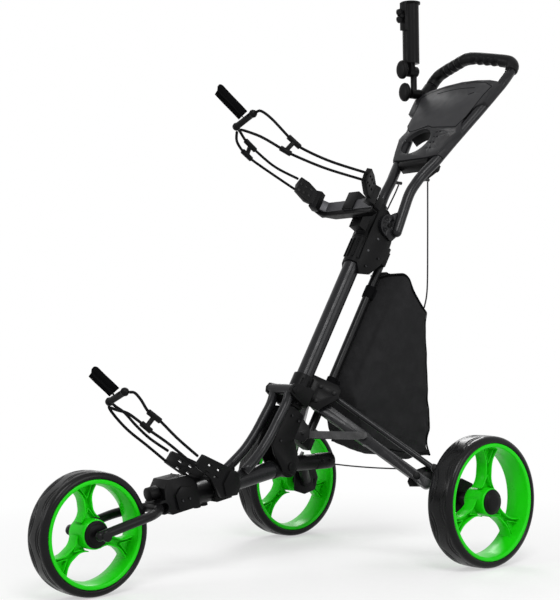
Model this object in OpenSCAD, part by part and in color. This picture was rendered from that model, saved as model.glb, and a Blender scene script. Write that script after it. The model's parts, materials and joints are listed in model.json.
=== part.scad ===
// Three-wheel golf push cart with folding frame, console, umbrella holder and storage bag.
// Millimetres, +Z up, front wheel toward -Y, handle toward +Y, symmetry plane X = 0.

/* [Wheels] */
// rear tyre outer diameter
rear_d = 280; // [250:1:310]
// front tyre outer diameter
front_d = 243; // [220:1:270]
// rear tyre width
rear_w = 66; // [54:1:74]
// front tyre width
front_w = 62; // [50:1:66]
// distance between the rear wheel centres
track = 636; // [600:1:680]
// distance from the front axle to the rear axle
wheelbase = 783; // [760:1:810]
// height of the tyre outside the rim
tyre_h = 15.5; // [12:0.5:20]
// wheel axle diameter
axle_d = 12; // [9:0.5:14]

/* [Frame] */
// outer diameter of the upright and the lower tube
main_d = 38; // [34:0.5:40]
// outer diameter of the curved struts
strut_d = 21; // [18:0.5:22]
// outer diameter of the fork tube
fork_d = 19; // [16:0.5:22]
// diameter of the bag rail behind the upright
rail_d = 19; // [14:0.5:21]
// height of the leg section in the plane that it folds in
leg_h = 26; // [20:0.5:28]
// thickness of the leg section
leg_t = 18; // [12:0.5:20]
// diameter of the parallel link rods
link_d = 13; // [9:0.5:15]
// diameter of the frame pivot pins
pin_d = 8; // [6:0.5:10]

/* [Handle] */
// outer diameter of the handle tube
handle_d = 24.6; // [20:0.2:26]
// outer diameter of the grip
grip_d = 31; // [28:0.5:34]
// diameter of the cup hole
cup_d = 84; // [74:1:88]
// thickness of the console plate
console_t = 11; // [8:0.5:14]
// outer diameter of the umbrella tube
umbrella_d = 42; // [36:0.5:46]
// wall of the umbrella tube
umbrella_wall = 3; // [2:0.5:5]

/* [Cradles and bag] */
// width of the storage bag
bag_w = 130; // [100:2:130]
// thickness of the upper cradle pads
pad_t = 12; // [8:0.5:14]
// diameter of the elastic cords
cord_d = 6; // [4:0.2:6]
// width of the pull tabs
tab_w = 26; // [20:1:30]

/* [Hidden] */
$fn = 48;
gap = 0.2;
// step by which an elbow stands proud of its straight runs
seat = 0.1;
run = 0.05;
eps = 0.01;
lean = 31;
slope = 9.5;
splay = 43.4;
rear_r = rear_d / 2;
front_r = front_d / 2;
main_r = main_d / 2;
handle_r = handle_d / 2;
strut_r = strut_d / 2;
fork_r = fork_d / 2;
rail_r = rail_d / 2;
pin_r = pin_d / 2;
link_r = link_d / 2;
axle_r = axle_d / 2;
half = track / 2;
foot_y = -339;
foot_z = 210;
// lower pivot, in the building frame
low_y = -285;
low_z = 214;
// points in the leg plane: pivot of the leg, of the link rod, of the bar, and their lower ends
p1 = [45, 186];
p2 = [76, 216];
h1 = [307, 113];
h2 = [338, 143];
bar_q = [47, 105];
bar_r = [170, 152];
leg_n = -20;
plate_n = 3;
hub_n = leg_n - leg_t / 2 - 4.3;
// strut path in the upright frame, from the collar pin down to the lower tube
collar_pin = [-42, 174];
collar_low = 150;
collar_high = 228;
collar_r = main_r + 5;
// handle hinge in the upright frame
hinge_q = 25;
hinge_t = 641;
hinge_x = 42;
rail_q = 76;
// start of the handle's slope, and its rake from the vertical
bend_y = 143;
bend_z = 900;
rake = 41;
// left handle tube and left half of the grip, in the handle frame
upper_run = [[63, 0, 0], [73, 0, 46], [109, 0, 179], [128, 0, 258], [131, 0, 298]];
half_grip = [[131, 0, 298.3], [129, -2, 312], [121, -5, 322], [108, -10, 328], [90, -18, 331],
    [66, -26, 331], [36, -33, 330], [0, -36, 329.5]];
grip_run = concat(half_grip, [for (i = [len(half_grip) - 2 : -1 : 0])
    [-half_grip[i][0], half_grip[i][1], half_grip[i][2]]]);
// the rear axle is at y = 0 in the building frame, and y_mid centres the part over the origin
grip_back = max([for (p = half_grip) bend_y + p[2] * sin(rake) + p[1] * cos(rake)]) + grip_d / 2;
y_mid = (wheelbase + front_r - grip_back) / 2;

// ---- placing ----

// Building frame to the part's frame.
module place() {
    translate([0, y_mid, 0])
        children();
}

// Upright frame: x across, y square to the upright toward the rear, z up along the upright.
module on_upright() {
    translate([0, foot_y, foot_z])
        rotate([-lean, 0, 0])
            children();
}

// Leg plane frame: x outward and rearward in the leg's plane, y its inner normal, z along the upright.
module in_leg_plane() {
    on_upright()
        rotate([0, 0, splay])
            children();
}

// Lower tube frame: x across, y forward along the tube, z square to it and upward.
module on_lower() {
    translate([0, low_y, low_z])
        rotate([slope, 0, 0])
            mirror([0, 1, 0])
                children();
}

// Handle frame: x across, -y is the face of the console, z up the handle's slope.
module on_handle() {
    translate([0, bend_y, bend_z])
        rotate([-rake, 0, 0])
            children();
}

// A point of the handle frame in the building frame.
function handle_point(p) = [p[0], bend_y + p[2] * sin(rake) + p[1] * cos(rake),
    bend_z + p[2] * cos(rake) - p[1] * sin(rake)];

// A straight round bar between two points.
module bar(a, b, r) {
    d = b - a;
    l = norm(d);
    translate(a)
        rotate([0, acos(d[2] / l), atan2(d[1], d[0])])
            cylinder(h = l, r = r);
}

// Length of the curved part on each side of an inner point of a bent tube.
function bend_reach(p, i) = 0.42 * min(norm(p[i] - p[i - 1]), norm(p[i + 1] - p[i]));

// A round elbow at inner point i: an arc that touches both straight runs.
module elbow(p, i, r) {
    u = unit(p[i] - p[i - 1]);
    v = unit(p[i + 1] - p[i]);
    turn = acos(u * v);
    n = unit(cross(u, v));
    x = cross(u, n);
    start = p[i] - u * bend_reach(p, i);
    bend_r = bend_reach(p, i) / tan(turn / 2);
    c = start - x * bend_r;
    multmatrix([[x[0], u[0], n[0], c[0]], [x[1], u[1], n[1], c[1]], [x[2], u[2], n[2], c[2]]])
        rotate_extrude(angle = turn)
            translate([bend_r, 0])
                circle(r = r + seat);
}

// A bent tube: straight runs joined by elbows.
module bent(p, r) {
    last = len(p) - 1;
    for (i = [0 : last - 1]) {
        u = unit(p[i + 1] - p[i]);
        a = i == 0 ? p[0] : p[i] + u * (bend_reach(p, i) - 0.8);
        b = i == last - 1 ? p[last] : p[i + 1] - u * (bend_reach(p, i + 1) - 0.8);
        bar(a, b, r);
    }
    for (i = [1 : last - 1])
        elbow(p, i, r);
}

// A cylinder along x, from x0 to x1.
module along_x(x0, x1, r) {
    translate([x0, 0, 0])
        rotate([0, 90, 0])
            cylinder(h = x1 - x0, r = r);
}

// A flat plate: an outline in the (y, z) plane, from x0 to x1.
module plate_x(x0, x1, outline) {
    translate([x0, 0, 0])
        rotate([90, 0, 90])
            linear_extrude(x1 - x0)
                polygon(outline);
}

// A flat plate: an outline in the (x, z) plane, from y0 to y1.
module plate_y(y0, y1, outline) {
    translate([0, y1, 0])
        rotate([90, 0, 0])
            linear_extrude(y1 - y0)
                polygon(outline);
}

// A flat strip with round ends in the (x, z) plane, from y0 to y1.
module strip_y(a, b, w, y0, y1) {
    d = b - a;
    l = norm(d);
    translate([a[0], y1, a[1]])
        rotate([90, 0, 0])
            rotate([0, 0, atan2(d[1], d[0])])
                linear_extrude(y1 - y0)
                    union() {
                        translate([0, -w / 2])
                            square([l, w]);
                        circle(r = w / 2);
                        translate([l, 0])
                            circle(r = w / 2);
                    }
}

module mirrored(side) {
    if (side < 0)
        mirror([1, 0, 0])
            children();
    else
        children();
}

// Sweep of a round cord along points, as one closed polyhedron.
function unit(v) = v / norm(v);
function heading(p, i) = unit(i == 0 ? p[1] - p[0]
    : i == len(p) - 1 ? p[i] - p[i - 1]
    : unit(p[i] - p[i - 1]) + unit(p[i + 1] - p[i]));
function carry(p, i) = i == 0 ? unit(cross(heading(p, 0), [0.31, 0.17, 0.93]))
    : let (n = carry(p, i - 1), h = heading(p, i)) unit(n - (n * h) * h);
module cord(p, r, sides = 8) {
    n = len(p);
    rings = [for (i = [0 : n - 1])
        let (h = heading(p, i), a = carry(p, i), b = cross(h, a))
            for (k = [0 : sides - 1])
                p[i] + r * (cos(360 * k / sides) * a + sin(360 * k / sides) * b)];
    walls = [for (i = [0 : n - 2], k = [0 : sides - 1])
        [i * sides + k, (i + 1) * sides + k, (i + 1) * sides + (k + 1) % sides,
         i * sides + (k + 1) % sides]];
    first = [for (k = [0 : sides - 1]) k];
    last = [for (k = [sides - 1 : -1 : 0]) (n - 1) * sides + k];
    polyhedron(points = rings, faces = concat(walls, [first], [last]), convexity = 6);
}

// ---- wheels, built with the axle along z at the origin ----

module tyre_ring(r, w, h) {
    rotate_extrude($fn = 96)
        polygon([[r - h + gap, -w * 0.46], [r - h * 0.72, -w * 0.5], [r - h * 0.38, -w * 0.47],
                 [r - h * 0.12, -w * 0.38], [r - h * 0.02, -w * 0.22], [r, -w * 0.08],
                 [r, w * 0.08], [r - h * 0.02, w * 0.22], [r - h * 0.12, w * 0.38],
                 [r - h * 0.38, w * 0.47], [r - h * 0.72, w * 0.5], [r - h + gap, w * 0.46]]);
}

module spoked_wheel(r, w, h, hub_w) {
    rim_r = r - h;
    difference() {
        union() {
            // barrel
            rotate_extrude($fn = 96)
                polygon([[rim_r - 7, -w * 0.46], [rim_r, -w * 0.46], [rim_r, w * 0.46],
                         [rim_r - 7, w * 0.46], [rim_r - 13, w * 0.2], [rim_r - 13, -w * 0.2]]);
            // hub
            cylinder(h = hub_w, r = 30, center = true);
            // three channelled spokes that widen at the rim
            for (a = [0, 120, 240])
                rotate([0, 0, a])
                    difference() {
                        translate([0, 0, -13])
                            linear_extrude(26)
                                polygon([[20, -15], [rim_r - 36, -14], [rim_r - 9, -33],
                                         [rim_r - 9, 33], [rim_r - 36, 14], [20, 15]]);
                        for (s = [-1, 1])
                            translate([0, 0, s * 12 - 9])
                                linear_extrude(18)
                                    polygon([[34, -9], [rim_r - 34, -9], [rim_r - 17, -20],
                                             [rim_r - 17, 20], [rim_r - 34, 9], [34, 9]]);
                    }
            // domed hub cap on the outer side
            translate([0, 0, hub_w / 2])
                cylinder(h = 5, r = 27);
            translate([0, 0, hub_w / 2 + 5])
                cylinder(h = 4, r = 21);
        }
        translate([0, 0, -hub_w / 2 - 1])
            cylinder(h = hub_w + 1, r = axle_r + run);
    }
}

module front_tyre() {
    color("#1b1b1c")
        place()
            translate([0, -wheelbase, front_r])
                rotate([0, 90, 0])
                    tyre_ring(front_r, front_w, tyre_h);
}

module front_wheel() {
    color("#35c72c")
        place()
            translate([0, -wheelbase, front_r])
                rotate([8, 0, 0])
                    rotate([0, -90, 0])
                        difference() {
                            union() {
                                intersection() {
                                    spoked_wheel(front_r, front_w, tyre_h, 56);
                                    cylinder(h = 66, r = front_r, center = true);
                                }
                                for (s = [-1, 1])
                                    translate([0, 0, s * 30])
                                        cylinder(h = 6, r = 27, center = true);
                            }
                            cylinder(h = 90, r = axle_r + run, center = true);
                        }
}

module rear_tyre(side) {
    color("#1b1b1c")
        place()
            translate([side * half, 0, rear_r])
                rotate([0, 90, 0])
                    tyre_ring(rear_r, rear_w, tyre_h);
}

module rear_wheel(side, turn) {
    color("#35c72c")
        place()
            translate([side * half, 0, rear_r])
                rotate([turn, 0, 0])
                    mirrored(side)
                        rotate([0, 90, 0])
                            rotate([0, 0, 180])
                                spoked_wheel(rear_r, rear_w - 4, tyre_h, 58);
}

// ---- front frame ----

fork_x = front_w / 2 + 23;

module front_fork() {
    end_y = -wheelbase - 8;
    end_z = front_r + 0.5;
    color("#232325")
        place() {
            for (s = [-1, 1]) {
                bent([[s * fork_x, end_y, end_z], [s * fork_x, -692, 144.5],
                      [s * (fork_x - 4), -668, 148.5], [s * (fork_x - 17), -645, 152.5],
                      [s * 19, -628, 155.5], [s * 5, -628, 155.5]], fork_r);
                translate([s * fork_x, end_y, end_z])
                    sphere(r = fork_r + seat);
            }
            translate([0, -628, 155.5])
                along_x(-8, 8, fork_r + seat);
            // axle bolt with its nuts and end caps
            translate([0, -wheelbase, front_r]) {
                along_x(-fork_x - 14, fork_x + 14, axle_r - 1);
                along_x(-fork_x + fork_r - 2, fork_x - fork_r + 2, axle_r);
                for (s = [-1, 1])
                    translate([s * (fork_x + 11.7), 0, 0])
                        along_x(-2.5, 2.5, 10);
            }
        }
}

module front_block() {
    color("#1f1f20")
        place()
            on_lower()
                difference() {
                    union() {
                        // upper housing, stepped
                        plate_x(-25, 25, [[252, -20], [322, -20], [334, -8], [334, 37], [322, 52],
                                          [276, 50], [262, 38], [252, 28]]);
                        plate_x(-31, 31, [[266, -14], [308, -14], [312, 18], [296, 32], [266, 24]]);
                        // yoke that holds the fork
                        translate([0, 340, 0])
                            along_x(-26, 26, fork_r + 5);
                        plate_x(-23, 23, [[312, -16], [338, -11], [338, 10], [312, 18]]);
                        // sleeve on the lower tube
                        translate([0, 214, 0])
                            rotate([-90, 0, 0])
                                cylinder(h = 60, r = main_r + 4);
                        // nuts beneath
                        for (y = [225, 243])
                            translate([0, y, -main_r - 9])
                                cylinder(h = 12, r = 8);
                    }
                    // lower tube goes in here
                    translate([0, 200, 0])
                        rotate([-90, 0, 0])
                            cylinder(h = 96, r = main_r + gap);
                    // fork tube goes through here
                    translate([0, 340, -1.1])
                        along_x(-40, 40, fork_r + seat + gap + 0.4);
                    plate_x(-40, 40, [[340, -fork_r - seat - gap - 1.1],
                                      [362, -fork_r - seat - gap - 1.1],
                                      [362, fork_r + seat + gap - 1.1],
                                      [340, fork_r + seat + gap - 1.1]]);
                    // knob spindle
                    translate([0, 320, 29])
                        rotate([-90, 0, 0])
                            cylinder(h = 30, r = 4 + run);
                }
}

module tracking_knob() {
    color("#2a2a2c")
        place()
            on_lower() {
                translate([0, 337, 29])
                    rotate([-90, 0, 0])
                        cylinder(h = 22, r = 14);
                translate([0, 322, 29])
                    rotate([-90, 0, 0])
                        cylinder(h = 20, r = 4);
                for (a = [0 : 45 : 315])
                    translate([0, 338, 29])
                        rotate([-90, a, 0])
                            translate([12.8, 0, 0])
                                cylinder(h = 18, r = 1.6, $fn = 16);
            }
}

module lower_tube() {
    color("#3a3a3d")
        place()
            on_lower()
                difference() {
                    translate([0, 36, 0])
                        rotate([-90, 0, 0])
                            cylinder(h = 259, r = main_r);
                    translate([0, 24, 0])
                        rotate([-90, 0, 0])
                            cylinder(h = 260, r = main_r - 2.5);
                }
}

// Casting at the lower pivot with the end sleeve behind it.
module tube_hinge() {
    color("#29292b")
        place() {
            difference() {
                union() {
                    on_lower() {
                        along_x(-main_r, main_r, 24);
                        translate([0, -2, 0])
                            rotate([-90, 0, 0])
                                cylinder(h = 37.8, r = main_r + 1.5);
                    }
                    translate([0, low_y, low_z + 3])
                        rotate([-90, 0, 0])
                            cylinder(h = 100, r = main_r - 2);
                    translate([0, -196, low_z + 3])
                        rotate([-90, 0, 0])
                            cylinder(h = 48, r = main_r - 1);
                }
                on_lower() {
                    along_x(-60, 60, pin_r + run);
                    for (s = [-1, 1])
                        translate([s * (main_r + 6), 0, 0])
                            along_x(-6, 6, 60);
                }
            }
            for (y = [-186, -163])
                translate([0, y, low_z + 5])
                    along_x(0, main_r + 2, 3.5);
        }
}

module lower_cradle() {
    color("#242426")
        place()
            on_lower()
                difference() {
                    union() {
                        plate_x(-main_r - 5, main_r + 5,
                            [[168, -24], [208, -24], [210, 14], [204, 27], [172, 27], [168, 14]]);
                        plate_x(-37, 37, [[172, -16], [204, -16], [206, 12], [172, 12]]);
                        for (s = [-1, 1])
                            translate([s * 30, 188, -2])
                                along_x(-7, 7, 8);
                    }
                    translate([0, 150, 0])
                        rotate([-90, 0, 0])
                            cylinder(h = 80, r = main_r + gap);
                }
}

// Cradle pad: a slotted plate that leans forward and outward from the lower tube.
module lower_pad(side) {
    color("#303033")
        place()
            on_lower()
                mirrored(side)
                    difference() {
                        translate([37 + gap, 188, 0])
                        rotate([0, 8, 0])
                            difference() {
                                union() {
                                    plate_x(0, 9, [[-26, 4], [-22, 34], [12, 58], [60, 90],
                                                   [82, 72], [48, 38], [22, -12], [-18, -16]]);
                                    plate_x(0, 14, [[-26, 4], [-22, 32], [-2, 42], [18, 18],
                                                    [12, -10], [-16, -14]]);
                                }
                                for (p = [[24, 48], [34, 36], [46, 64], [56, 52]])
                                    translate([0, p[0], p[1]])
                                        rotate([44, 0, 0])
                                            translate([-1, -6, -2.5])
                                                cube([20, 12, 5]);
                            }
                        // the cradle's own room
                        translate([20, 150, -40])
                            cube([17 + 1.5 * gap, 80, 60]);
                    }
}

// Curved struts with their top sleeve, in one piece.
module strut_yoke() {
    top_y = foot_y + collar_pin[1] * sin(lean) + collar_pin[0] * cos(lean);
    top_z = foot_z + collar_pin[1] * cos(lean) - collar_pin[0] * sin(lean);
    color("#2f2f32")
        place() {
            difference() {
                union() {
                    translate([0, top_y, top_z])
                        along_x(-36.5, 36.5, 11.5);
                    for (s = [-1, 1]) {
                        bent([[s * 25, top_y, top_z], [s * 25, top_y - 10, top_z - 30],
                              [s * 25.5, -316, 322], [s * 26, -341, 286], [s * 27.5, -370, 253],
                              [s * 30.5, -401, 228], [s * 31, -418, 216]], strut_r);
                        // flat tang beside the lower tube, with its bolt head
                        translate([s * 22.5, 0, 0])
                            plate_x(-2.5, 2.5, [[-409, 231], [-441, 205], [-434, 196], [-403, 214]]);
                        translate([s * 22.5, -433, 204])
                            along_x(-2.5, 2.5, 9);
                        translate([s * 22.5, -433, 204])
                            along_x(s > 0 ? 0 : -6, s > 0 ? 6 : 0, 6);
                    }
                }
                translate([0, top_y, top_z])
                    along_x(-60, 60, pin_r + run);
                translate([0, low_y, low_z])
                    rotate([slope, 0, 0])
                        rotate([90, 0, 0])
                            cylinder(h = 300, r = main_r + 0.6);
            }
        }
}

// ---- upright and its fittings ----

module upright_tube() {
    color("#3a3a3d")
        place()
            on_upright()
                difference() {
                    translate([0, 0, 84])
                        cylinder(h = 600, r = main_r);
                    translate([0, 0, 80])
                        cylinder(h = 610, r = main_r - 2.5);
                }
}

module foot_housing() {
    color("#1d1d1f")
        place() {
            on_upright() {
                difference() {
                    union() {
                        // side plates
                        for (s = [-1, 1])
                            translate([s * (main_r + 5.2), 0, 0])
                                plate_x(-2.7, 2.7,
                                    [[-24, 143], [0, 146], [20, 143], [22, 86], [58, 52], [58, 18],
                                     [30, 12], [-12, 34], [-26, 48], [-28, 88]]);
                        // cross block round the upright
                        translate([-main_r - 7, -main_r - 3.5, 90])
                            cube([main_d + 14, main_d + 3.5, 54]);
                        // block that holds the foot of the bag rail
                        translate([-13, 10, 92])
                            cube([26, rail_q + 2, 26]);
                        translate([0, rail_q, 92])
                            cylinder(h = 26, r = rail_r + 4);
                    }
                    translate([0, 0, 86])
                        cylinder(h = 70, r = main_r + gap);
                    translate([0, rail_q, 98])
                        cylinder(h = 30, r = rail_r + gap);
                }
                // lugs for the lower bars, in the leg planes
                for (s = [-1, 1])
                    mirrored(s)
                        rotate([0, 0, splay])
                            difference() {
                                union() {
                                    plate_y(-3, 2.5, [[27, 86], [56, 88], [62, 105], [56, 122],
                                                      [27, 142]]);
                                }
                            }
                for (s = [-1, 1])
                    mirrored(s)
                        rotate([0, 0, splay])
                            translate([bar_q[0], 12, bar_q[1]])
                                rotate([90, 0, 0])
                                    cylinder(h = 18, r = pin_r - 1);
            }
            // lower pivot pin with its heads
            translate([0, low_y, low_z]) {
                along_x(-main_r - 12, main_r + 12, pin_r);
                for (s = [-1, 1])
                    translate([s * (main_r + 10), 0, 0])
                        along_x(-2.2, 2.2, 10);
            }
        }
}

module bag_rail() {
    color("#3a3a3d")
        place()
            on_upright()
                translate([0, rail_q, 98.2])
                    cylinder(h = 514, r = rail_r);
}

// Collar that slides on the upright, with the ears for the struts and the plates for the legs.
module collar() {
    color("#26262a")
        place()
            on_upright() {
                difference() {
                    union() {
                        translate([0, 0, collar_low])
                            cylinder(h = collar_high - collar_low, r = collar_r);
                        // ears
                        for (s = [-1, 1])
                            translate([s * 40, 0, 0])
                                plate_x(-3, 3, [[-50, 163], [-54, 174], [-50, 185], [-36, 190],
                                                [4, 198], [8, 176], [4, 156], [-36, 160]]);
                        translate([-43, -8, 156])
                            cube([86, 16, 42]);
                        // leg plates
                        for (s = [-1, 1])
                            mirrored(s)
                                rotate([0, 0, splay])
                                    plate_y(-3, 3, [[14, 170], [58, 168], [66, 178], [88, 206],
                                                    [88, 226], [78, 236], [14, 240]]);
                    }
                    translate([0, 0, collar_low - 20])
                        cylinder(h = 140, r = main_r + run);
                    // slots down the front of the collar
                    for (a = [-40, 0])
                        rotate([0, 0, a])
                            translate([collar_r - 2, -2, collar_low + 12])
                                cube([6, 4, collar_high - collar_low - 24]);
                }
                // pin that carries the struts
                translate([0, collar_pin[0], collar_pin[1]]) {
                    along_x(-46, 46, pin_r);
                    for (s = [-1, 1])
                        translate([s * 45, 0, 0])
                            along_x(-2.5, 2.5, 8);
                }
                // pins for the legs and the link rods
                for (s = [-1, 1])
                    mirrored(s)
                        rotate([0, 0, splay]) {
                            for (p = [p1, p2])
                                translate([p[0], -leg_n + leg_t / 2 + 1, p[1]])
                                    rotate([90, 0, 0])
                                        cylinder(h = -leg_n + leg_t / 2, r = pin_r - 0.5);
                            for (p = [p1, p2])
                                translate([p[0], -leg_n - leg_t / 2 - 1, p[1]])
                                    rotate([90, 0, 0])
                                        cylinder(h = -leg_n - leg_t / 2 - 1, r = 7);
                            for (p = [[43, 220], p2, p1])
                                translate([p[0], -3, p[1]])
                                    rotate([90, 0, 0])
                                        cylinder(h = 2.5, r = 5);
                        }
            }
}

// ---- rear legs, drawn on the left and mirrored ----

// Two-section leg: a broad upper box and a slimmer lower box.
module leg(side) {
    seam = p1 + (h1 - p1) * 0.5;
    tip = h1 + unit(h1 - p1) * 26;
    color("#36363a")
        place()
            on_upright()
                mirrored(side)
                    rotate([0, 0, splay])
                        difference() {
                            union() {
                                strip_y(p1, seam, leg_h, -leg_n - leg_t / 2, -leg_n + leg_t / 2);
                                strip_y(seam, tip, leg_h - 4, -leg_n - leg_t / 2 + 1.5,
                                    -leg_n + leg_t / 2 - 1.5);
                                // hook for the cross cord
                                translate([hook_c[0], -leg_n + leg_t / 2 - 2, hook_c[1]])
                                    rotate([-90, 0, 0])
                                        cylinder(h = 9.7, r = 6);
                                translate([hook_c[0], -leg_n + leg_t / 2 + 7.7, hook_c[1]])
                                    sphere(r = 6);
                            }
                            translate([p1[0], 60, p1[1]])
                                rotate([90, 0, 0])
                                    cylinder(h = 60, r = pin_r - 0.5 + run);
                            translate([h1[0], 60, h1[1]])
                                rotate([90, 0, 0])
                                    cylinder(h = 60, r = pin_r - 0.5 + run);
                        }
}

module link_rod(side) {
    color("#3c3c40")
        place()
            on_upright()
                mirrored(side)
                    rotate([0, 0, splay])
                        difference() {
                            union() {
                                bar([p2[0], -leg_n, p2[1]], [h2[0], -leg_n, h2[1]], link_r);
                                for (p = [p2, h2])
                                    translate([p[0], -leg_n + link_r + 0.6, p[1]])
                                        rotate([90, 0, 0])
                                            cylinder(h = link_d + 1.2, r = link_r + 2.5);
                            }
                            for (p = [p2, h2])
                                translate([p[0], 60, p[1]])
                                    rotate([90, 0, 0])
                                        cylinder(h = 60, r = pin_r - 0.5 + run);
                        }
}

module hub_bracket(side) {
    color("#1f1f21")
        place() {
            on_upright()
                mirrored(side)
                    rotate([0, 0, splay]) {
                        // plate behind the leg and the rod
                        plate_y(-hub_n - 0.2, -hub_n + 6.8, [[292, 100], [300, 92], [330, 104],
                            [356, 132], [356, 148], [344, 160], [330, 158], [292, 124]]);
                        for (p = [h1, h2])
                            translate([p[0], -hub_n + 1, p[1]])
                                rotate([90, 0, 0])
                                    cylinder(h = leg_t + 6.3, r = pin_r - 0.5);
                        for (p = [h1, h2])
                            translate([p[0], -leg_n - leg_t / 2 - 0.3, p[1]])
                                rotate([90, 0, 0])
                                    cylinder(h = 3, r = 7);
                    }
            mirrored(side)
                difference() {
                    union() {
                        bar([200, -57, 186], [half - 68, 0, rear_r], 12);
                        translate([half - 76, 0, rear_r])
                            along_x(0, 40, 16);
                        translate([half - 60, 0, rear_r])
                            plate_x(-3, 3, [[-30, -24], [0, -34], [34, -26], [44, 4], [34, 30],
                                            [0, 44], [-30, 34]]);
                        // wheel axle
                        translate([half, 0, rear_r])
                            along_x(-60, 28, axle_r);
                    }
                    translate([half - 60, 26, rear_r - 2])
                        along_x(-20, 20, 6);
                }
        }
}

module link_bar(side) {
    color("#2c2c2f")
        place()
            on_upright()
                mirrored(side)
                    rotate([0, 0, splay])
                        difference() {
                            strip_y(bar_q, bar_r, 17, 3.2, 7.2);
                            translate([bar_q[0], 60, bar_q[1]])
                                rotate([90, 0, 0])
                                    cylinder(h = 60, r = pin_r - 1 + run);
                        }
}

hook_c = h1 + unit(p1 - h1) * 36;
hook_m = hook_c[0] * cos(splay) - (-leg_n + leg_t / 2 + 7.7) * sin(splay);
hook_q = hook_c[0] * sin(splay) + (-leg_n + leg_t / 2 + 7.7) * cos(splay);
hook_y = foot_y + hook_c[1] * sin(lean) + hook_q * cos(lean);
hook_z = foot_z + hook_c[1] * cos(lean) - hook_q * sin(lean);

module leg_cord() {
    color("#3b3b3d")
        place()
            cord([[-hook_m + 6.6, hook_y, hook_z], [-90, hook_y, hook_z - 1], [0, hook_y, hook_z - 2],
                  [90, hook_y, hook_z - 1], [hook_m - 6.6, hook_y, hook_z]], 1.6);
}

// ---- upper bracket and cradle ----

module upper_bracket() {
    color("#222224")
        place()
            on_upright() {
                difference() {
                    union() {
                        // sleeve on the upright
                        translate([0, 0, 521])
                            cylinder(h = 162, r = main_r + 5);
                        translate([0, 0, 585])
                            cylinder(h = 4, r = main_r + 6.5);
                        // cheek plates
                        for (s = [-1, 1])
                            translate([s * 25, 0, 0])
                                plate_x(-3.2, 3.2,
                                    [[-8, 521], [6, 499], [34, 514], [54, 552], [61, 584],
                                     [58, 614], [50, 640], [40, 662], [14, 674], [-10, 670],
                                     [-12, 602]]);
                        // back that guides the bag rail
                        translate([-20, 20, 560])
                            cube([40, 55, 36]);
                        // neck toward the cradle
                        translate([-17, -40, 600])
                            cube([34, 30, 70]);
                    }
                    translate([0, 0, 480])
                        cylinder(h = 204.4, r = main_r + gap);
                    translate([0, rail_q, 480])
                        cylinder(h = 140, r = rail_r + gap);
                }
                // grooves' ridges on the front of the sleeve
                for (a = [-120, -90, -60, -30])
                    rotate([0, 0, a])
                        translate([main_r + 5, -2, 530])
                            cube([3, 4, 48]);
                // hinge pin of the handle
                translate([0, hinge_q, hinge_t])
                    difference() {
                        along_x(-40, 40, pin_r + 1);
                        along_x(-21, 21, pin_r + 2);
                    }
            }
}

// Cushion block on the neck, with the moulded arms that back the band.
module cradle_box() {
    color("#2b2b2e")
        place()
            on_upright() {
                difference() {
                    translate([-17, -79, 622])
                        cube([34, 38.8, 46]);
                    translate([-30, -75.6, 621.8])
                        cube([60, 4.8, 26.4]);
                }
                // arms, stepped back behind the band
                linear_arm(616, 30, [[-100, -86], [-98, -66], [-60, -50], [60, -50], [98, -66],
                                     [100, -86], [80.4, -70.6], [-80.4, -70.6]]);
                linear_arm(612, 9.8, [[-90, -82], [-76, -74], [76, -74], [90, -82], [90, -66],
                                      [-90, -66]]);
            }
}

module linear_arm(z, h, outline) {
    translate([0, 0, z])
        linear_extrude(h)
            polygon(outline);
}

// Metal band that carries both cradle pads.
module upper_band() {
    outline = [[-96, -94], [-92, -96], [-76, -75.4], [76, -75.4], [92, -96], [96, -94],
               [80, -71], [-80, -71]];
    color("#7c7c80")
        place()
            on_upright()
                linear_arm(622, 26, outline);
}

module upper_pad(side) {
    color("#303033")
        place()
            on_upright()
                mirrored(side)
                    difference() {
                        union() {
                            // clamp block
                            linear_arm(616, 44, [[84, -88], [80, -104], [96, -112], [104, -92],
                                                 [97.5, -84.6]]);
                            // slotted pad
                            translate([92, -100, 0])
                                rotate([0, 0, -66])
                                    plate_y(-pad_t / 2, pad_t / 2,
                                        [[2, 624], [2, 656], [34, 668], [56, 670], [60, 650],
                                         [56, 634], [26, 622]]);
                        }
                        // the band passes through
                        linear_arm(621.8, 26.4, [[60, -75.9], [75.7, -75.9], [91.7, -96.4],
                                                 [96.5, -93.9], [80.3, -70.6], [60, -70.6]]);
                        for (x = [18, 32, 45])
                            for (z = [636, 652])
                                translate([92, -100, 0])
                                    rotate([0, 0, -66])
                                        translate([x, -20, z])
                                            cube([7, 40, 5]);
                    }
}

// ---- cords with their sliders, buckles and tabs ----

upper_left_route = [[118, -135, 851], [104, -232, 872], [92, -307, 898], [88, -334, 918],
    [66, -361, 956], [48, -376, 974], [33.4, -378, 972.2]];
upper_left_back = [[-27.1, -371, 943], [-8, -372, 938], [40, -368, 920], [84, -353, 893],
    [90, -331, 882], [104, -247, 856], [118, -145, 835]];
upper_right_route = [[-112, -135, 859], [-104, -211, 881], [-92, -279, 913], [-88, -308, 931],
    [-64, -342, 944], [-39, -371, 948.8]];
upper_right_back = [[-42, -370, 940], [-66, -351, 924], [-94, -312, 908], [-98, -286, 893],
    [-110, -221, 868], [-117.6, -141.2, 835.3]];
lower_left_route = [[52, -556, 258], [52, -605, 296], [52, -648, 334], [52, -675, 353],
    [45, -688, 377], [38, -698, 391], [30.6, -705.4, 392.1]];
lower_left_back = [[-22, -714, 360], [-2, -712, 356], [20, -702, 350], [48, -689, 331],
    [50, -669, 315], [50, -623, 285], [52, -563.4, 239]];
lower_right_route = [[-52, -555, 262], [-50, -602, 291], [-47, -638, 320], [-44, -666, 346],
    [-39, -690, 360], [-32.4, -704.1, 367.6]];
lower_right_back = [[-35.9, -709.5, 365.1], [-42, -703, 355], [-50, -676, 330], [-54, -647, 306],
    [-56, -606, 277], [-54.5, -561, 242.2]];

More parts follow.
